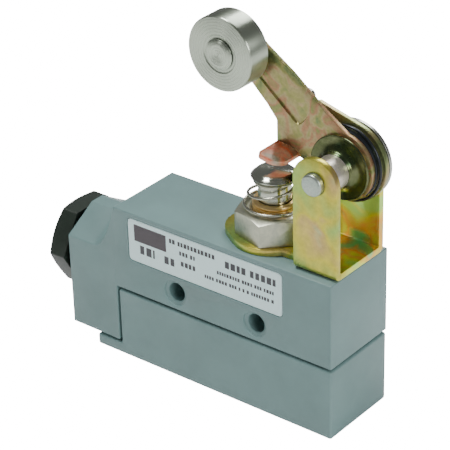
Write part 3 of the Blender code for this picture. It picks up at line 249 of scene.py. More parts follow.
def zinc(name, stops, scale, offset, roughness, metallic=0.9, distortion=0.8, stretch=(1, 1, 1)):
    """Chromated zinc: slow bands of interference colour with a fine mottle over them."""
    material, tree, shader = new_material(name, stops[0][1], metallic, roughness)
    slow = noise(tree, scale, 2.0, 0.45, distortion, offset, stretch)
    base = ramp(tree, slow, stops)
    fine = ramp(
        tree, noise(tree, scale * 9, 4.0, 0.6, 0.3, offset),
        [(0.3, (0.80, 0.80, 0.80)), (0.7, (1.08, 1.06, 1.04))],
    )
    mix = tree.nodes.new("ShaderNodeMix")
    mix.data_type = "RGBA"
    mix.blend_type = "MULTIPLY"
    mix.inputs[0].default_value = 1.0
    tree.links.new(base, mix.inputs[6])
    tree.links.new(fine, mix.inputs[7])
    tree.links.new(mix.outputs[2], shader.inputs["Base Color"])
    roughness_from(tree, shader, noise(tree, 260, 3, offset=offset), roughness - 0.06, roughness + 0.1)
    bump(tree, shader, noise(tree, 900, 2, offset=offset), 0.05, 0.0002)
    return material


def iridescent_inside(material):
    """Stronger greens and oranges on the faces between the uprights, where the plating pooled."""
    tree = material.node_tree
    shader = tree.nodes["Principled BSDF"]
    outside = shader.inputs["Base Color"].links[0].from_socket
    stops = [
        (0.36, (0.55, 0.85, 0.20)), (0.46, (0.85, 0.80, 0.10)), (0.55, (0.95, 0.50, 0.10)),
        (0.66, (0.30, 0.70, 0.30)),
    ]
    inside = ramp(tree, noise(tree, 110, 2.0, 0.5, 0.6, (0.004, 0.0, 0.009)), stops)
    coordinates = tree.nodes.new("ShaderNodeTexCoord")
    split = tree.nodes.new("ShaderNodeSeparateXYZ")
    tree.links.new(coordinates.outputs["Object"], split.inputs[0])
    depth = node(tree, "ShaderNodeMapRange")
    depth.inputs["From Min"].default_value = BRACKET_FRONT_INSIDE
    depth.inputs["From Max"].default_value = BRACKET_FRONT_INSIDE + 4 * MM
    tree.links.new(split.outputs["Y"], depth.inputs["Value"])
    right = node(tree, "ShaderNodeMapRange")
    right.inputs["From Min"].default_value = BRACKET_LEFT - 0.5 * MM
    right.inputs["From Max"].default_value = BRACKET_LEFT + 2 * MM
    tree.links.new(split.outputs["X"], right.inputs["Value"])
    both = node(tree, "ShaderNodeMath", operation="MULTIPLY")
    tree.links.new(depth.outputs[0], both.inputs[0])
    tree.links.new(right.outputs[0], both.inputs[1])
    mix = tree.nodes.new("ShaderNodeMix")
    mix.data_type = "RGBA"
    tree.links.new(both.outputs[0], mix.inputs[0])
    tree.links.new(outside, mix.inputs[6])
    tree.links.new(inside, mix.inputs[7])
    tree.links.new(mix.outputs[2], shader.inputs["Base Color"])


def turned_metal(name, color, roughness, centre, rings_scale, axis="Y", strength=0.12):
    """Machined metal with fine circular tool marks about an axis along Y or Z through a point."""
    material, tree, shader = new_material(name, color, 1.0, roughness)
    coordinates = tree.nodes.new("ShaderNodeTexCoord")
    mapping = tree.nodes.new("ShaderNodeMapping")
    mapping.inputs["Location"].default_value = tuple(-c for c in centre)
    tree.links.new(coordinates.outputs["Object"], mapping.inputs["Vector"])
    wave = tree.nodes.new("ShaderNodeTexWave")
    wave.wave_type = "RINGS"
    wave.rings_direction = axis
    wave.inputs["Scale"].default_value = rings_scale
    wave.inputs["Distortion"].default_value = 1.2
    wave.inputs["Detail"].default_value = 2.0
    wave.inputs["Detail Scale"].default_value = 0.4
    tree.links.new(mapping.outputs[0], wave.inputs["Vector"])
    bump(tree, shader, wave.outputs["Fac"], strength, 0.0002)
    roughness_from(tree, shader, wave.outputs["Fac"], roughness - 0.05, roughness + 0.08)
    shader.inputs["Anisotropic"].default_value = 0.9
    shader.inputs["Anisotropic Rotation"].default_value = 0.25
    tangent = tree.nodes.new("ShaderNodeTangent")
    tangent.direction_type = "RADIAL"
    tangent.axis = axis
    tree.links.new(tangent.outputs[0], shader.inputs["Tangent"])
    return material


PAINT_COLOR = (0.160, 0.262, 0.258)
OLIVE = (0.42, 0.50, 0.11)
GREEN = (0.32, 0.54, 0.15)
GOLD = (0.60, 0.54, 0.08)
PINK = (0.56, 0.42, 0.16)
BLUE_GREY = (0.40, 0.50, 0.28)

ENAMEL = cast_paint()
BRACKET_ZINC = zinc(
    "olive_yellow_zinc", [(0.30, GREEN), (0.46, OLIVE), (0.58, GOLD), (0.68, PINK), (0.78, BLUE_GREY)],
    75, (0.013, 0.004, 0.02), 0.30,
)
iridescent_inside(BRACKET_ZINC)
ARM_ZINC = zinc(
    "mottled_olive_zinc",
    [
        (0.30, (0.20, 0.26, 0.11)), (0.42, (0.34, 0.33, 0.12)), (0.50, (0.42, 0.36, 0.18)),
        (0.58, (0.42, 0.23, 0.13)), (0.68, (0.26, 0.28, 0.10)),
    ],
    170, (0.031, 0.0, 0.011), 0.36, 0.85,
)
DOG_ZINC = zinc(
    "olive_dog_zinc",
    [
        (0.34, (0.26, 0.32, 0.14)), (0.45, (0.38, 0.38, 0.16)), (0.56, (0.42, 0.34, 0.18)),
        (0.68, (0.30, 0.36, 0.18)),
    ],
    120, (0.004, 0.003, 0.012), 0.30,
)
FOOT_ZINC = zinc(
    "glowing_orange_zinc",
    [
        (0.36, (0.52, 0.44, 0.33)), (0.44, (0.85, 0.45, 0.30)), (0.52, (1.0, 0.22, 0.10)),
        (0.64, (0.80, 0.50, 0.30)),
    ],
    120, (0.010, 0.003, 0.016), 0.34, 0.35,
)
DISH_ZINC = zinc(
    "dark_green_zinc",
    [(0.35, (0.05, 0.08, 0.035)), (0.5, (0.10, 0.12, 0.05)), (0.65, (0.16, 0.18, 0.09))],
    160, (0.0, 0.02, 0.0), 0.22,
)
BRIGHT = plain("bright_zinc", (0.50, 0.52, 0.46), 1.0, 0.26)
NUT_ZINC = zinc(
    "pale_silver_zinc",
    [(0.35, (0.46, 0.48, 0.38)), (0.55, (0.56, 0.57, 0.43)), (0.7, (0.46, 0.48, 0.34))], 90,
    (0, 0, 0.01), 0.3, 0.9,
)
PIN_ZINC = zinc(
    "pin_zinc", [(0.35, (0.40, 0.49, 0.44)), (0.55, (0.45, 0.52, 0.47)), (0.7, (0.43, 0.47, 0.40))],
    200, (0.02, 0, 0), 0.32, 0.9,
)
COLLAR = zinc(
    "rose_gold_zinc",
    [(0.35, (0.90, 0.86, 0.74)), (0.5, (0.95, 0.88, 0.80)), (0.65, (0.88, 0.84, 0.70))], 220,
    (0.0, 0.01, 0.03), 0.30, 0.85,
)
ROLLER = turned_metal(
    "satin_turned_steel", (0.50, 0.56, 0.46), 0.30, (ROLLER_X, 0, ROLLER_Z), 420, "Y", 0.05
)
PLUNGER = turned_metal("polished_steel", (0.54, 0.57, 0.48), 0.14, (PLUNGER_X, MID_Y, 0), 500, "Z", 0.05)
SPRING = plain("drawn_spring_wire", (0.46, 0.47, 0.38), 1.0, 0.24)
BLACK = plain("blue_black_oxide", (0.020, 0.024, 0.030), 0.5, 0.28)
BRASS = plain("turned_brass", (0.86, 0.62, 0.27), 1.0, 0.28)
RUBBER = plain("gasket_rubber", (0.012, 0.020, 0.020), 0.0, 0.6)
GLAND = plain("olive_black_moulding", (0.013, 0.022, 0.015), 0.0, 0.45)
# Darker, less green copy of the gland moulding for the neck: painted shade where the recessed neck sits in
# shadow against the housing
GLAND_NECK_PAINTED_SHADE = plain("gland_moulding_painted_shade", (0.010, 0.009, 0.011), 0.0, 0.5)
LABEL = plain("label_film", (0.74, 0.96, 0.96), 0.0, 0.32)
INK = plain("label_ink", (0.045, 0.048, 0.055), 0.0, 0.4)
INK_BLOCK = plain("label_ink_block", (0.060, 0.050, 0.058), 0.0, 0.4)
PHENOLIC = plain("brown_phenolic", (0.10, 0.05, 0.03), 0.0, 0.4)
RED = plain("red_acetal", (0.45, 0.05, 0.04), 0.0, 0.35)
COPPER = plain("spring_copper", (0.72, 0.38, 0.22), 1.0, 0.25)
SILVER = plain("contact_silver", (0.80, 0.80, 0.78), 1.0, 0.2)
FIBRE = plain("grey_fibre", (0.30, 0.30, 0.28), 0.0, 0.8)

SLOT_FINISH = {
    "paint": ENAMEL, "label": LABEL, "yellow_zinc": BRACKET_ZINC, "dark_zinc": DISH_ZINC,
    "bright_zinc": BRIGHT, "turned_steel": ROLLER,
    "spring_steel": SPRING, "black_oxide": BLACK, "brass": BRASS, "rubber": RUBBER,
    "gland_plastic": GLAND, "phenolic": PHENOLIC,
    "red_acetal": RED, "spring_copper": COPPER, "contact_silver": SILVER, "fibre": FIBRE,
}


# ---------------------------------------------------------------- modelling

def arc(centre, radius, start, end, count):
    """Points on an arc, both ends included, angles in radians."""
    angles = [start + (end - start) * i / count for i in range(count + 1)]
    return [(centre[0] + radius * cos(a), centre[1] + radius * sin(a)) for a in angles]


def rounded(points, radius, count=4):
    """An outline with every corner rounded; a radius may also be a list, one for each corner."""
    radii = radius if isinstance(radius, (list, tuple)) else [radius] * len(points)
    made = []
    for i, point in enumerate(points):
        here = Vector(point)
        before = Vector(points[i - 1]) - here
        after = (Vector(points[(i + 1) % len(points)]) - here)
        half = before.angle(after) / 2
        if radii[i] <= 0 or half > radians(88):
            made.append(tuple(here))
            continue
        run = min(radii[i] / tan(half), before.length * 0.49, after.length * 0.49)
        start, end = here + before.normalized() * run, here + after.normalized() * run
        for j in range(count + 1):
            t = j / count
            made.append(tuple(start * (1 - t) ** 2 + here * 2 * t * (1 - t) + end * t * t))
    return made


def smooth_mesh(mesh, angle=32):
    mesh.shade_smooth()
    mesh.set_sharp_from_angle(angle=radians(angle))


def to_object(name, bm, material, angle=32):
    bmesh.ops.recalc_face_normals(bm, faces=bm.faces)
    mesh = bpy.data.meshes.new(name)
    bm.to_mesh(mesh)
    bm.free()
    smooth_mesh(mesh, angle)
    made = bpy.data.objects.new(name, mesh)
    bpy.context.scene.collection.objects.link(made)
    if material is not None:
        mesh.materials.append(material)
    return made


def slab(name, outline, low, high, plane, material=None, bevel=0.0, segments=2):
    """A flat outline given a thickness between two world positions, with its rims bevelled."""
    bm = bmesh.new()
    face = bm.faces.new([bm.verts.new((x, y, 0)) for x, y in outline])
    grown = bmesh.ops.extrude_face_region(bm, geom=[face])
    verts = [v for v in grown["geom"] if isinstance(v, bmesh.types.BMVert)]
    bmesh.ops.translate(bm, vec=(0, 0, high - low), verts=verts)
    if bevel > 0:
        edges = [e for e in bm.edges if abs(e.verts[0].co.z - e.verts[1].co.z) < 1e-9]
        bmesh.ops.bevel(
            bm, geom=edges, offset=bevel, segments=segments, profile=0.5, affect="EDGES", material=-1
        )
    bmesh.ops.translate(bm, vec=(0, 0, -(high - low) / 2), verts=bm.verts)
    turn = PLANES[plane]
    bmesh.ops.transform(bm, matrix=turn.to_4x4(), verts=bm.verts)
    along = Vector([abs(value) for value in turn.col[2]])
    bmesh.ops.translate(bm, vec=along * (low + high) / 2, verts=bm.verts)
    return to_object(name, bm, material)


def block(name, low, high, material=None, bevel=0.0, segments=2):
    low, high = Vector(low), Vector(high)
    bm = bmesh.new()
    bmesh.ops.create_cube(bm, size=1)
    bmesh.ops.scale(bm, vec=high - low, verts=bm.verts)
    bmesh.ops.translate(bm, vec=(low + high) / 2, verts=bm.verts)
    if bevel > 0:
        bmesh.ops.bevel(
            bm, geom=bm.edges[:], offset=bevel, segments=segments, profile=0.5, affect="EDGES",
            material=-1,
        )
    return to_object(name, bm, material)


def turned(name, profile, centre, direction, material=None, steps=FINE, closed=True):
    """A lathe profile of (radius, height) points spun about its own Z, then placed."""
    bm = bmesh.new()
    verts = [bm.verts.new((r, 0, h)) for r, h in profile]
    edges = [bm.edges.new(pair) for pair in zip(verts, verts[1:])]
    if closed and profile[0][0] > 0:
        edges.append(bm.edges.new((verts[-1], verts[0])))
    bmesh.ops.spin(
        bm, geom=verts + edges, cent=(0, 0, 0), axis=(0, 0, 1), angle=2 * pi, steps=steps,
        use_merge=True,
    )
    bmesh.ops.remove_doubles(bm, verts=bm.verts, dist=0.000002)
    matrix = Matrix.Translation(centre) @ TURNED[direction].to_4x4()
    bmesh.ops.transform(bm, matrix=matrix, verts=bm.verts)
    return to_object(name, bm, material)


def hexagon(name, flats, low, high, centre, direction, corner_angle, chamfer, material):
    """A hexagonal bar whose far corners are rounded off by a shallow cone."""
    bm = bmesh.new()
    radius = flats / 2 / cos(pi / 6)
    bmesh.ops.create_cone(bm, cap_ends=True, segments=6, radius1=radius, radius2=radius, depth=high - low)
    upright = [e for e in bm.edges if abs(e.verts[0].co.z - e.verts[1].co.z) > 1e-6]
    bmesh.ops.bevel(bm, geom=upright, offset=0.3 * MM, segments=2, profile=0.5, affect="EDGES", material=-1)
    bmesh.ops.rotate(
        bm, cent=(0, 0, 0), matrix=Matrix.Rotation(corner_angle - pi / 2, 3, "Z"), verts=bm.verts
    )
    bmesh.ops.translate(bm, vec=(0, 0, (low + high) / 2), verts=bm.verts)
    matrix = Matrix.Translation(centre) @ TURNED[direction].to_4x4()
    bmesh.ops.transform(bm, matrix=matrix, verts=bm.verts)
    made = to_object(name, bm, material)
    wide = radius + 1 * MM
    drop = (wide - (flats / 2 - chamfer)) * 0.5
    outer = [
        (0, high), (flats / 2 - chamfer, high), (wide, high - drop), (wide, low - 1 * MM),
        (0, low - 1 * MM),
    ]
    apply_boolean(made, turned(name + "_cone", outer, centre, direction), "INTERSECT")
    return made


def bake(target, angle=32):
    """Applies a piece's modifiers to its mesh."""
    mesh = bpy.data.meshes.new_from_object(target.evaluated_get(bpy.context.evaluated_depsgraph_get()))
    old = target.data
    target.modifiers.clear()
    target.data = mesh
    bpy.data.meshes.remove(old)
    smooth_mesh(mesh, angle)


def apply_boolean(target, tool, operation="DIFFERENCE"):
    """Cuts, joins or intersects the target with a tool, which is then thrown away."""
    boolean = target.modifiers.new("cut", "BOOLEAN")
    boolean.operation = operation
    boolean.object = tool
    boolean.solver = "EXACT"
    boolean.material_mode = "TRANSFER" if len(tool.data.materials) else "INDEX"
    bpy.context.view_layer.update()
    bake(target)
    bpy.data.objects.remove(tool, do_unlink=True)


def drill(target, name, radius, far, near, centre, direction):
    """Takes a round hole out of the target between two heights along a direction."""
    profile = [(0, far), (radius, far), (radius, near), (0, near)]
    apply_boolean(target, turned(name, profile, centre, direction))


def quarter(across, along, soft, facing=1):
    """A rounded rim's quarter circle on a lathe profile, from the end face round to the side."""
    turns = (0, pi / 8, pi / 4, 3 * pi / 8, pi / 2)
    return [(across + soft * sin(a), along + facing * soft * cos(a)) for a in turns]


def round_edges(target, width, segments=2, angle=35):
    """Rounds every edge sharper than an angle."""
    bevel = target.modifiers.new("round", "BEVEL")
    bevel.width = width
    bevel.segments = segments
    bevel.limit_method = "ANGLE"
    bevel.angle_limit = radians(angle)
    bevel.harden_normals = False
    bevel.use_clamp_overlap = True
    bpy.context.view_layer.update()
    bake(target)


def coil(name, place, turns, points_a_turn, wire, material):
    """A round wire swept along place(turn)."""
    curve = bpy.data.curves.new(name, "CURVE")
    curve.dimensions = "3D"
    curve.bevel_depth = wire
    curve.bevel_resolution = 3
    curve.use_fill_caps = True
    count = round(turns * points_a_turn)
    spline = curve.splines.new("POLY")
    spline.points.add(count)
    for index, point in enumerate(spline.points):
        point.co = (*place(turns * index / count), 1)
    drawn = bpy.data.objects.new(name, curve)
    bpy.context.scene.collection.objects.link(drawn)
    bpy.context.view_layer.update()
    mesh = bpy.data.meshes.new_from_object(drawn.evaluated_get(bpy.context.evaluated_depsgraph_get()))
    bpy.data.objects.remove(drawn, do_unlink=True)
    bm = bmesh.new()
    bm.from_mesh(mesh)
    bpy.data.meshes.remove(mesh)
    bmesh.ops.remove_doubles(bm, verts=bm.verts, dist=0.000005)
    return to_object(name, bm, material, 50)


def stands_for(piece, body, slot, *nodes):
    """The piece rides on a body and shows in place of the CAD nodes; the slot is not used."""
    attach(piece, body)
    if nodes:
        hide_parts(*nodes)


# ---------------------------------------------------------------- body

def conduit_section(x):
    """The conduit boss's section at x: shouldered near the gland, growing into the full body at the seam."""
    grow = min(max((x - GROW_START) / GROW_LENGTH, 0), 1) ** GROW_POWER
    shoulder = SHOULDER_Z + (TOP - SHOULDER_Z) * grow
    ridge = BOSS_TOP + (TOP - BOSS_TOP) * grow
    run = SHOULDER_RUN * (1 - 0.97 * grow)
    return [
        (FRONT, BOSS_BOTTOM), (FRONT, shoulder), (FRONT + run, ridge), (BACK - run, ridge),
        (BACK, shoulder), (BACK, BOSS_BOTTOM),
    ]


def make_housing():
    """Die-cast upper shell with its shouldered conduit boss, two sunk bores and the nameplate's recess."""
    bm = bmesh.new()
    growing = [GROW_START + GROW_LENGTH * i / GROW_STEPS for i in range(GROW_STEPS + 1)]
    stations = [BOSS_END] + growing + [RIGHT_END]
    rings = []
    for x in stations:
        rings.append([bm.verts.new((x, y, z)) for y, z in conduit_section(x)])
    edges = []
    for ring in rings:
        edges += [bm.edges.new((ring[i - 1], ring[i])) for i in range(len(ring))]
    bmesh.ops.bridge_loops(bm, edges=edges)
    bm.faces.new(rings[0])
    bm.faces.new(rings[-1])
    body = to_object("housing_shell", bm, ENAMEL)
    below = block(
        "below", (HOUSING_SEAM, FRONT - MM, BOSS_BOTTOM - MM), (RIGHT_END + MM, BACK + MM, HOUSING_LOW),
        ENAMEL,
    )
    apply_boolean(body, below)
    round_edges(body, 0.75 * MM, 3, 30)
    band = block(
        "band", (LEFT_END + 2 * MM, BACK - MM, 8.65 * MM), (RIGHT_END - 2 * MM, 0, TOP - MM), ENAMEL,
        0.3 * MM,
    )
    apply_boolean(body, band, "UNION")
    pad = block(
        "pad", (-19.0 * MM, BACK - MM, HOUSING_LOW + 0.3 * MM), (19.0 * MM, 0, 9.6 * MM), ENAMEL,
        0.3 * MM,
    )
    apply_boolean(body, pad, "UNION")
    apply_boolean(
        body,
        block("room", (-30.1 * MM, -22.3 * MM, -9 * MM), (34.1 * MM, -2.7 * MM, 16.4 * MM), ENAMEL),
    )
    chamber = block("chamber", (-42.6 * MM, -21.5 * MM, -18.5 * MM), (-34.4 * MM, -3.5 * MM, 4 * MM), ENAMEL)
    apply_boolean(body, chamber)
    drill(body, "conduit", 9.2 * MM, 8 * MM, -8 * MM, (BOSS_END, MID_Y, CONDUIT_Z), "left")
    for x in (-HOLE_X, HOLE_X):
        tube = [(0, 10.6 * MM), (4.2 * MM, 10.6 * MM), (4.2 * MM, -10.6 * MM), (0, -10.6 * MM)]
        apply_boolean(body, turned("tube", tube, (x, MID_Y, 0), "front", ENAMEL), "UNION")
        bore = [
            (0, 16 * MM), (4.2 * MM, 16 * MM), (4.2 * MM, 11.9 * MM), (3.55 * MM, 11.5 * MM),
            (3.45 * MM, 11.1 * MM), (2.9 * MM, 11.0 * MM),
            (2.55 * MM, 10.7 * MM), (2.55 * MM, -20 * MM), (0, -20 * MM),
        ]
        apply_boolean(body, turned("bore", bore, (x, MID_Y, 0), "front"))
    drill(body, "roof_hole", BUSHING_WAY, 30 * MM, 14 * MM, (PLUNGER_X, MID_Y, 0), "up")
    recess = rounded(
        [
            (-27.6 * MM, 4.95 * MM), (21.7 * MM, 4.95 * MM), (21.7 * MM, 17.55 * MM),
            (-27.6 * MM, 17.55 * MM),
        ],
        1.6 * MM, 6,
    )
    apply_boolean(body, slab("recess", recess, FRONT - MM, FRONT + 0.5 * MM, "XZ"))
    stands_for(body, "body", "paint", "housing")


def make_cover():
    """Lower shell with its heel under the boss and three sunk screws."""
    outline = [
        (RIGHT_END, COVER_HIGH), (COVER_LEFT, COVER_HIGH), (COVER_LEFT, LIP_TOP), (HEEL_END, LIP_TOP),
        (HEEL_END, BOTTOM), (RIGHT_END, BOTTOM),
    ]
    cover = slab("cover_shell", outline, FRONT, BACK, "XZ", ENAMEL)
    round_edges(cover, 0.7 * MM, 3, 30)
    apply_boolean(
        cover, block("room", (-29.8 * MM, -22.3 * MM, -22.8 * MM), (34.1 * MM, -2.7 * MM, 0), ENAMEL)
    )
    for x, y, sink in (
        (31.85 * MM, -20.05 * MM, 3.0 * MM), (31.85 * MM, -4.95 * MM, 3.0 * MM),
        (-36.15 * MM, MID_Y, 2.1 * MM),
    ):
        if x > 0:
            post = [(0, -5.5 * MM), (3.5 * MM, -5.5 * MM), (3.5 * MM, -24 * MM), (0, -24 * MM)]
            apply_boolean(cover, turned("post", post, (x, y, 0), "up", ENAMEL), "UNION")
        seat = BOTTOM + sink
        way = [
            (0, 0), (1.75 * MM, 0), (1.75 * MM, seat), (2.9 * MM, seat), (2.9 * MM, BOTTOM + 0.4 * MM),
            (3.3 * MM, BOTTOM), (3.3 * MM, BOTTOM - MM),
            (0, BOTTOM - MM),
        ]
        apply_boolean(cover, turned("way", way, (x, y, 0), "up"))
    stands_for(cover, "body", "paint", "cover")


def print_bar(left, low, right, high, material, number):
    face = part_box("nameplate")[0].y
    bar = block(
        f"label_print_{number:02d}", (left, face - 0.02 * MM, low), (right, face + 0.05 * MM, high),
        material,
    )
    stands_for(bar, "body", "label")


def make_nameplate():
    """Pale label with one dark block and rows of plain bars where printing would be."""
    low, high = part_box("nameplate")
    outline = rounded([(low.x, low.z), (high.x, low.z), (high.x, high.z), (low.x, high.z)], 1.3 * MM, 6)
    film = slab("label_plate", outline, low.y, high.y, "XZ", LABEL, 0.05 * MM, 1)
    stands_for(film, "body", "label", "nameplate")
    random.seed(4)
    number = 1
    print_bar(-25.4 * MM, 11.3 * MM, -14.9 * MM, 16.0 * MM, INK_BLOCK, number)
    rows = [
        (-13.8, 1.2, 14.4, 1.25), (-10.6, -5.6, 11.9, 1.15), (-10.2, -5.6, 8.9, 1.35),
        (-23.6, -18.8, 8.0, 2.4), (-15.6, -12.4, 7.9, 2.1),
        (4.0, 19.6, 13.2, 1.9), (1.4, 19.0, 10.6, 0.95), (-2.6, 19.4, 8.2, 0.95),
    ]
    for left, right, low_z, tall in rows:
        x = left
        while x < right - 0.3:
            number += 1
            wide = min(tall * random.uniform(0.5, 0.75), right - x)
            print_bar(x * MM, low_z * MM, (x + wide) * MM, (low_z + tall) * MM, INK, number)
            x += wide + tall * random.choice((0.22, 0.25, 0.3, 0.75))


# ---------------------------------------------------------------- lever

def tongue_outline():
    """Egg-shaped tongue round the bushing, necked before the uprights."""
    wide, tip = PLUNGER_X - 0.8 * MM, PLUNGER_X - 5.7 * MM
    big, small, neck = 10.6 * MM, 8.0 * MM, 6.9 * MM
    lean = (big - small) / (wide - tip)
    spread = atan2(sqrt(1 - lean * lean), lean)
    mouth = atan2(neck, sqrt(big ** 2 - neck ** 2))
    end = BRACKET_LEFT + 2 * MM
    points = [(end, MID_Y + neck)]
    points += arc((wide, MID_Y), big, mouth, pi - spread, 20)
    points += arc((tip, MID_Y), small, pi - spread, pi + spread, 16)
    points += arc((wide, MID_Y), big, pi + spread, 2 * pi - mouth, 20)
    return points + [(end, MID_Y - neck)]


def make_bracket():
    """Bent steel bracket: U with round-topped uprights and the tongue under the nut."""
    outer, inner = 1.7 * MM, 0.35 * MM
    high, low = PIVOT_Z + 8 * MM, BRACKET_BASE
    left, right = MID_Y - BRACKET_HALF, MID_Y + BRACKET_HALF
    section = [(left, high)]
    section += arc((left + outer, low + outer), outer, pi, 1.5 * pi, 8)
    section += arc((right - outer, low + outer), outer, 1.5 * pi, 2 * pi, 8)
    section += [(right, high), (right - SHEET, high)]
    section += arc((right - SHEET - inner, low + SHEET + inner), inner, 2 * pi, 1.5 * pi, 4)
    section += arc((left + SHEET + inner, low + SHEET + inner), inner, 1.5 * pi, pi, 4)
    section += [(left + SHEET, high)]
    bracket = slab("lever_bracket", section, BRACKET_LEFT, BRACKET_RIGHT, "YZ", BRACKET_ZINC)
    side = arc((PIVOT_X, PIVOT_Z), BRACKET_LENGTH / 2, 0, pi, 48)
    side = [(BRACKET_RIGHT + MM, PIVOT_Z)] + side + [
        (BRACKET_LEFT - MM, PIVOT_Z), (BRACKET_LEFT - MM, 10 * MM), (BRACKET_RIGHT + MM, 10 * MM)
    ]
    apply_boolean(bracket, slab("side", side, MID_Y - 20 * MM, MID_Y + 20 * MM, "XZ"), "INTERSECT")
    apply_boolean(
        bracket, slab("tongue", tongue_outline(), BRACKET_BASE, BRACKET_TOP, "XY", BRACKET_ZINC),
        "UNION",
    )
    round_edges(bracket, EDGE, 2, 40)
    drill(bracket, "hole", 2.97 * MM, THROUGH, -THROUGH, (PIVOT_X, MID_Y, PIVOT_Z), "front")
    drill(bracket, "ring", BUSHING_WAY, 25 * MM, 15 * MM, (PLUNGER_X, MID_Y, 0), "up")
    stands_for(bracket, "body", "yellow_zinc", "bracket")


def arm_point(along, across):
    """A place on the arm: along from the pivot to the roller, across to its upper right."""
    ux, uz = cos(ARM_ANGLE), sin(ARM_ANGLE)
    return PIVOT_X + ux * along + uz * across, PIVOT_Z + uz * along - ux * across


def make_arm():
    """Stamped arm with a pressed channel down its middle."""
    tip = arc((ROLLER_X, ROLLER_Z), 5.1 * MM, ARM_ANGLE - pi / 2, ARM_ANGLE + pi / 2, 24)
    left = rounded(
        [
            arm_point(28.6 * MM, -5.2 * MM), arm_point(19 * MM, -7.0 * MM),
            arm_point(12.5 * MM, -8.4 * MM),
        ],
        [3 * MM, 6 * MM, 0], 6,
    )
    hub = arc((PIVOT_X, PIVOT_Z), HUB_RADIUS, ARM_ANGLE + radians(62), ARM_ANGLE + radians(300), 64)
    right = [arm_point(13.8 * MM, 6.6 * MM), arm_point(24 * MM, 6.3 * MM), arm_point(33 * MM, 5.3 * MM)]
    arm = slab("lever_arm", tip + left + hub + right, ARM_Y, ARM_BACK_Y, "XZ", ARM_ZINC)
    round_edges(arm, EDGE, 2, 40)
    channel = [
        arm_point(33.5 * MM, -3.0 * MM), arm_point(13.8 * MM, -3.0 * MM),
        arm_point(13.8 * MM, 1.9 * MM), arm_point(33.5 * MM, 1.9 * MM),
    ]
    channel = rounded(channel, 1.6 * MM, 6)
    bm = bmesh.new()
    face = bm.faces.new([bm.verts.new((x, ARM_Y - 0.3 * MM, z)) for x, z in channel])
    grown = bmesh.ops.extrude_face_region(bm, geom=[face])
    verts = [v for v in grown["geom"] if isinstance(v, bmesh.types.BMVert)]
    middle = sum((v.co for v in verts), Vector()) / len(verts)
    bmesh.ops.translate(bm, vec=(0, 0.8 * MM, 0), verts=verts)
    for vert in verts:
        inward = Vector((middle.x - vert.co.x, 0, middle.z - vert.co.z))
        vert.co += inward.normalized() * 0.5 * MM
    apply_boolean(arm, to_object("channel", bm, ARM_ZINC))
    drill(arm, "hole", 4.6 * MM, THROUGH, -THROUGH, (PIVOT_X, MID_Y, PIVOT_Z), "front")
    drill(arm, "hole", 2.32 * MM, THROUGH, -THROUGH, (ROLLER_X, MID_Y, ROLLER_Z), "front")
    stands_for(arm, "roller_arm", "yellow_zinc", "roller_arm")


def along_pin(y):
    """Height of a world Y on a piece turned to face the front."""
    return MID_Y - y


def make_roller():
    """Turned roller with a shallow dished face, on its domed rivet."""
    centre = (ROLLER_X, MID_Y, ROLLER_Z)
    front, back = along_pin(ROLLER_FRONT), along_pin(ROLLER_BACK)
    radius, soft = ROLLER_RADIUS, 0.45 * MM
    profile = [(2.45 * MM, front - 0.2 * MM), (4.6 * MM, front - 0.2 * MM), (4.9 * MM, front)]
    profile += quarter(radius - soft, front - soft, soft)
    profile += quarter(radius - soft, back + soft, soft, -1)[::-1]
    profile += [(2.45 * MM, back)]
    roller = turned("turned_roller", profile, centre, "front", ROLLER, 128)
    stands_for(roller, "roller", "turned_steel", "roller")
    low, high = front + 0.12 * MM, front + 0.72 * MM
    tail = along_pin(ARM_BACK_Y + 0.1 * MM)
    head = 3.9 * MM
    rivet = [
        (0, high - 0.25 * MM), (1.4 * MM, high - 0.22 * MM), (2.3 * MM, high), (2.8 * MM, high),
        (3.5 * MM, high - 0.25 * MM),
    ]
    rivet += [
        (head, high - 0.52 * MM), (head, low), (2.2 * MM, low), (2.2 * MM, tail), (3.3 * MM, tail),
        (3.3 * MM, tail - 0.4 * MM),
    ]
    rivet += [(2.3 * MM, tail - 0.9 * MM), (0, tail - 0.9 * MM)]
    stands_for(
        turned("domed_rivet", rivet, centre, "front", ROLLER), "roller_arm", "turned_steel",
        "roller_rivet",
    )


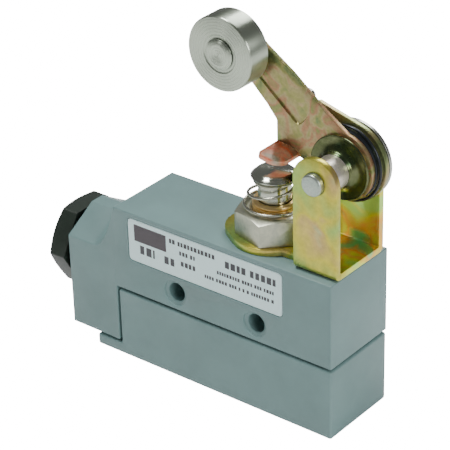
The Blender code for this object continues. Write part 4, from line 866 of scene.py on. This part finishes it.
def make_stack():
    """Pin, collar, dished hub flange, washers and spring on the pivot."""
    centre = (PIVOT_X, MID_Y, PIVOT_Z)
    low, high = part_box("pivot_pin")
    front, back = along_pin(low.y), along_pin(high.y)
    soft = 0.6 * MM
    pin = [(0, front)] + quarter(PIN_RADIUS - soft, front - soft, soft) + [(PIN_RADIUS, back), (0, back)]
    stands_for(turned("pin", pin, centre, "front", PIN_ZINC), "body", "bright_zinc", "pivot_pin")
    low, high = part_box("pin_collar")
    front, back = along_pin(low.y), along_pin(high.y)
    collar = [
        (PIN_BORE, front), (4.1 * MM, front), (4.3 * MM, front - 0.2 * MM), (4.3 * MM, back),
        (PIN_BORE, back),
    ]
    stands_for(turned("collar", collar, centre, "front", COLLAR), "body", "bright_zinc", "pin_collar")
    low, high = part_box("hub_flange")
    top, bottom = along_pin(low.y), along_pin(high.y)
    rim = top - 2.4 * MM
    dish = [(PIN_BORE, top), (4.35 * MM, top)]
    for i in range(1, 13):
        a = pi / 2 * i / 12
        dish.append((4.5 * MM + 3.0 * MM * (1 - cos(a)), top - 1.75 * MM * sin(a)))
    dish += [(7.8 * MM, rim + 0.66 * MM), (8.1 * MM, rim + 0.6 * MM), (DISH_RADIUS, rim + 0.4 * MM)]
    dish += [(DISH_RADIUS, rim + 0.1 * MM), (8.2 * MM, rim)]
    dish += [(4.5 * MM, rim), (4.5 * MM, bottom), (PIN_BORE, bottom)]
    stands_for(
        turned("dished_flange", dish, centre, "front", DISH_ZINC), "roller_arm", "dark_zinc",
        "hub_flange",
    )
    for name, inner, outer, finish, slot, body in (
        ("thrust_washer", 4.62, 8.0, ARM_ZINC, "yellow_zinc", "roller_arm"),
        ("pivot_washer", 3.1, 10.1, BRIGHT, "bright_zinc", "body"),
    ):
        low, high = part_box(name)
        front, back = along_pin(low.y), along_pin(high.y)
        soft = min(0.12 * MM, (front - back) * 0.3)
        rim_r = outer * MM
        profile = [
            (inner * MM, front), (rim_r - soft, front), (rim_r, front - soft), (rim_r, back + soft),
            (rim_r - soft, back), (inner * MM, back),
        ]
        stands_for(turned(name + "_ring", profile, centre, "front", finish), body, slot, name)

    low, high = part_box("pivot_spacer")
    front, back = along_pin(low.y), along_pin(high.y)
    drum_face = DRUM_RADIUS - 0.2 * MM
    drum = [(PIN_BORE, front), (drum_face, front), (DRUM_RADIUS, front - 0.2 * MM)]
    drum += [(DRUM_RADIUS, back + 0.2 * MM), (drum_face, back), (PIN_BORE, back)]
    stands_for(
        turned("spring_drum", drum, centre, "front", BLACK), "trip_dog", "black_oxide", "pivot_spacer"
    )

    def wind(turn):
        angle = radians(200) + 2 * pi * turn
        y = (ARM_BACK_Y + DOG_Y - 0.92 * MM) / 2 + 0.8 * MM * turn
        return PIVOT_X + 9.61 * MM * cos(angle), y, PIVOT_Z + 9.61 * MM * sin(angle)

    stands_for(
        coil("lever_spring", wind, 1.15, 72, 0.36 * MM, BLACK), "trip_dog", "black_oxide",
        "torsion_spring",
    )


def make_dog():
    """Trip dog: round hub, shoulder and a tilted foot bent forward over the plunger."""
    tilt, drop, wide, sheet = radians(10), 5.8 * MM, 7.1 * MM, 1.3 * MM
    along = Vector((cos(tilt), -sin(tilt)))
    normal = Vector((sin(tilt), cos(tilt)))
    pivot = Vector((PIVOT_X, PIVOT_Z))
    under = pivot - normal * drop
    left_low = under + along * ((FOOT_LEFT - under.x) / along.x)
    right_low = left_low + along * wide
    left_high = left_low + normal * sheet
    hub = DOG_HUB_RADIUS
    span = pivot - right_low
    start = atan2(span.y, span.x) - pi / 2 - atan2(hub, sqrt(span.length_squared - hub * hub))
    outline = [tuple(left_low), tuple(right_low)]
    outline += arc((PIVOT_X, PIVOT_Z), hub, start, radians(75), 56)
    outline += [(PIVOT_X - hub * 0.9, PIVOT_Z + hub + DOG_CREST)]
    outline += [(12.3 * MM, left_high.y + 10.3 * MM), (left_low.x, left_high.y + DOG_BACK_HEIGHT)]
    dog = slab("dog_plate", outline, DOG_Y, DOG_BACK_Y, "XZ", DOG_ZINC)
    half, tip, near, far = wide / 2, DOG_Y - FOOT_LENGTH, 1.5 * MM, 3.5 * MM
    foot_outline = [(half, DOG_BACK_Y - 0.3 * MM), (-half, DOG_BACK_Y - 0.3 * MM)]
    foot_outline += arc((near - half, tip + near), near, pi, 1.5 * pi, 10)
    foot_outline += arc((half - far, tip + far), far, 1.5 * pi, 2 * pi, 16)
    foot = slab("foot", foot_outline, 0, sheet, "XY", FOOT_ZINC)
    middle = left_low + along * half
    foot.data.transform(Matrix.Translation((middle.x, 0, middle.y)) @ Matrix.Rotation(tilt, 4, "Y"))
    apply_boolean(dog, foot, "UNION")
    round_edges(dog, EDGE, 2, 40)
    drill(dog, "hole", PIN_BORE, THROUGH, -THROUGH, (PIVOT_X, MID_Y, PIVOT_Z), "front")
    stands_for(dog, "trip_dog", "yellow_zinc", "trip_dog")


# ---------------------------------------------------------------- plunger line

def make_plunger_line():
    """Nut, threaded bushing, capped plunger and the conical return spring."""
    centre = (PLUNGER_X, MID_Y, 0)
    low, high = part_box("bushing_nut")
    nut = hexagon("lock_nut", 17.5 * MM, low.z, high.z, centre, "up", radians(44), 0.5 * MM, NUT_ZINC)
    bore = [
        (0, 30 * MM), (6.3 * MM, 30 * MM), (6.3 * MM, high.z), (5.72 * MM, high.z - 0.45 * MM),
        (5.72 * MM, 19 * MM), (0, 19 * MM),
    ]
    apply_boolean(nut, turned("nut_bore", bore, centre, "up"))
    stands_for(nut, "body", "bright_zinc", "bushing_nut")
    low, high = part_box("bushing")
    top, pitch, crest, root = high.z, 0.8 * MM, 5.6 * MM, 5.15 * MM
    profile = [(4.4 * MM, top), (crest - 0.4 * MM, top), (crest - 0.1 * MM, top - 0.3 * MM)]
    z = top - 0.5 * MM
    while z > 17.2 * MM:
        profile += [(crest, z), (crest, z - 0.3 * pitch), (root, z - 0.55 * pitch), (root, z - 0.7 * pitch)]
        z -= pitch
    profile += [
        (crest, 16.6 * MM), (crest, 15.8 * MM), (7.6 * MM, 15.8 * MM), (7.6 * MM, low.z),
        (4.4 * MM, low.z),
    ]
    stands_for(turned("threaded_bushing", profile, centre, "up", BRASS), "body", "brass", "bushing")
    low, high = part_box("plunger")
    top = high.z
    cap = top - 1.75 * MM
    profile = [
        (0, top), (4.3 * MM, top), (4.6 * MM, top - 0.1 * MM), (5.75 * MM, cap + 0.62 * MM),
        (5.9 * MM, cap + 0.45 * MM),
    ]
    profile += [
        (5.85 * MM, cap + 0.3 * MM), (5.5 * MM, cap + 0.15 * MM), (4.3 * MM, cap),
        (PLUNGER_RADIUS, cap - 0.15 * MM),
    ]
    profile += [(PLUNGER_RADIUS, low.z), (2.9 * MM, low.z), (2.9 * MM, top - 5.1 * MM), (0, top - 5.1 * MM)]
    stands_for(
        turned("capped_plunger", profile, centre, "up", PLUNGER), "plunger", "turned_steel", "plunger"
    )
    wire = SPRING_WIRE
    pitch = 2 * wire + SPRING_GAP
    low_z, high_z = SPRING_SEAT + wire + SPRING_GAP, cap - wire - SPRING_GAP

    def wind(turn):
        angle = radians(28) + 2 * pi * turn
        share = min(max((turn - SEAT_TURNS) / ACTIVE_TURNS, 0), 1)
        seated, ended = min(turn, SEAT_TURNS), max(turn - SEAT_TURNS - ACTIVE_TURNS, 0)
        climb = (high_z - pitch) - (low_z + SEAT_TURNS * pitch)
        z = low_z + (seated + ended) * pitch + climb * share
        radius = SPRING_WIDE + (PLUNGER_RADIUS + 2 * wire - SPRING_WIDE) * share
        return PLUNGER_X + radius * cos(angle), MID_Y + radius * sin(angle), z

    spring = coil("conical_spring", wind, SEAT_TURNS + ACTIVE_TURNS + END_TURNS, 60, wire, SPRING)
    stands_for(spring, "body", "spring_steel", "return_spring")
    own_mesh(spring)
    inner_wire, inner_low, inner_high = 0.35 * MM, 19.75 * MM, 32.1 * MM

    def inner_wind(turn):
        angle = 2 * pi * turn
        radius = 2.3 * MM
        z = inner_low + (inner_high - inner_low) * turn / 6
        return PLUNGER_X + radius * cos(angle), MID_Y + radius * sin(angle), z

    inner = coil("inner_spring", inner_wind, 6, 40, inner_wire, SPRING)
    stands_for(inner, "plunger", "spring_steel", "overtravel_spring")
    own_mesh(inner)


# ---------------------------------------------------------------- gland

def make_gland():
    """Moulded cable gland: neck, chamfered hexagon cap with a rounded mouth."""
    centre = (0, MID_Y, CONDUIT_Z)
    low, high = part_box("gland_nut")
    near, far = -high.x, -low.x
    nut = hexagon("gland_cap", 21.5 * MM, near, far, centre, "left", radians(90), 0.6 * MM, GLAND)
    mouth = [
        (0, far + 3 * MM), (6.5 * MM, far + 3 * MM), (6.5 * MM, far), (5.2 * MM, far - 1.3 * MM),
        (5.2 * MM, near - MM), (0, near - MM),
    ]
    apply_boolean(nut, turned("mouth", mouth, centre, "left"))
    drill(nut, "pocket", 8.12 * MM, near + 2.64 * MM, near - MM, centre, "left")
    stands_for(nut, "body", "gland_plastic", "gland_nut")
    low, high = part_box("gland_body")
    outer, inner = -low.x, -high.x
    neck_low = 48.7 * MM
    body = [
        (5.2 * MM, outer), (10.2 * MM, outer), (10.4 * MM, outer - 0.2 * MM),
        (10.4 * MM, neck_low + 0.2 * MM), (10.2 * MM, neck_low), (8.9 * MM, neck_low),
        (8.9 * MM, inner), (5.2 * MM, inner),
    ]
    # The neck takes the darker copy of the gland moulding, which is painted shade
    stands_for(turned("gland_neck", body, centre, "left", GLAND_NECK_PAINTED_SHADE), "body", "gland_plastic", "gland_body")


# ---------------------------------------------------------------- scene

def finish_cad_nodes():
    """Every CAD node still shown takes its slot's finish."""
    slots = {part["node"]: part["material_slot"] for part in frame["record"]["subparts"]}
    for name, obj in frame["nodes"].items():
        obj.data.materials.clear()
        obj.data.materials.append(SLOT_FINISH[slots[name]])


def area_light(name, place, target, size, power, color=(1, 1, 1)):
    light = bpy.data.lights.new(name, "AREA")
    light.shape = "DISK"
    light.size = size
    light.energy = power
    light.color = color
    made = bpy.data.objects.new(name, light)
    made.location = place
    made.rotation_euler = (Vector(target) - Vector(place)).to_track_quat("-Z", "Y").to_euler()
    bpy.context.scene.collection.objects.link(made)


def make_stage():
    """Pale floor, soft light, plain sky."""
    floor_z = cad_box[0][2] - 0.0002
    bm = bmesh.new()
    bmesh.ops.create_grid(bm, x_segments=1, y_segments=1, size=3.0)
    bmesh.ops.translate(bm, vec=(0, 0, floor_z), verts=bm.verts)
    material, tree, shader = new_material("pale_floor", (0.95, 0.95, 0.95), 0.0, 0.9)
    shader.inputs["Emission Color"].default_value = (1, 1, 1, 1)
    seen = tree.nodes.new("ShaderNodeLightPath")
    glow = node(tree, "ShaderNodeMapRange")
    glow.inputs["To Min"].default_value = 0.08
    glow.inputs["To Max"].default_value = 16.0
    tree.links.new(seen.outputs["Is Camera Ray"], glow.inputs["Value"])
    tree.links.new(glow.outputs[0], shader.inputs["Emission Strength"])
    floor = to_object("studio_floor", bm, material)
    world = bpy.data.worlds.new("studio_sky")
    world.use_nodes = True
    world.node_tree.nodes["Background"].inputs["Color"].default_value = (1, 1, 1, 1)
    world.node_tree.nodes["Background"].inputs["Strength"].default_value = 0.17
    bpy.context.scene.world = world
    target = (0, MID_Y, 0.01)
    area_light("key", (-0.20, -0.12, 0.66), target, 0.20, 4.0)
    area_light("fill", (0.58, -0.20, 0.26), target, 0.25, 2.3)
    area_light("rim", (-0.1, 0.45, 0.45), target, 0.3, 2.0)


def make_camera():
    """Camera at the product's three-quarter view from above."""
    right = Vector((0.78371, 0.62064, -0.02470))
    up = Vector((-0.28397, 0.39339, 0.87441))
    back = Vector((0.55241, -0.67827, 0.48455))
    lens = bpy.data.cameras.new("camera")
    lens.lens = 164.01
    lens.sensor_width = 36.0
    lens.shift_x = -0.0022
    lens.shift_y = 0.0001
    lens.clip_start = 0.01
    made = bpy.data.objects.new("camera", lens)
    turn = Matrix((right, up, back)).transposed()
    made.matrix_world = Matrix.Translation((0.27936, -0.36144, 0.26641)) @ turn.to_4x4()
    bpy.context.scene.collection.objects.link(made)
    bpy.context.scene.camera = made


finish_cad_nodes()
make_housing()
make_cover()
make_nameplate()
make_bracket()
make_arm()
make_roller()
make_stack()
make_dog()
make_plunger_line()
make_gland()
make_stage()
make_camera()
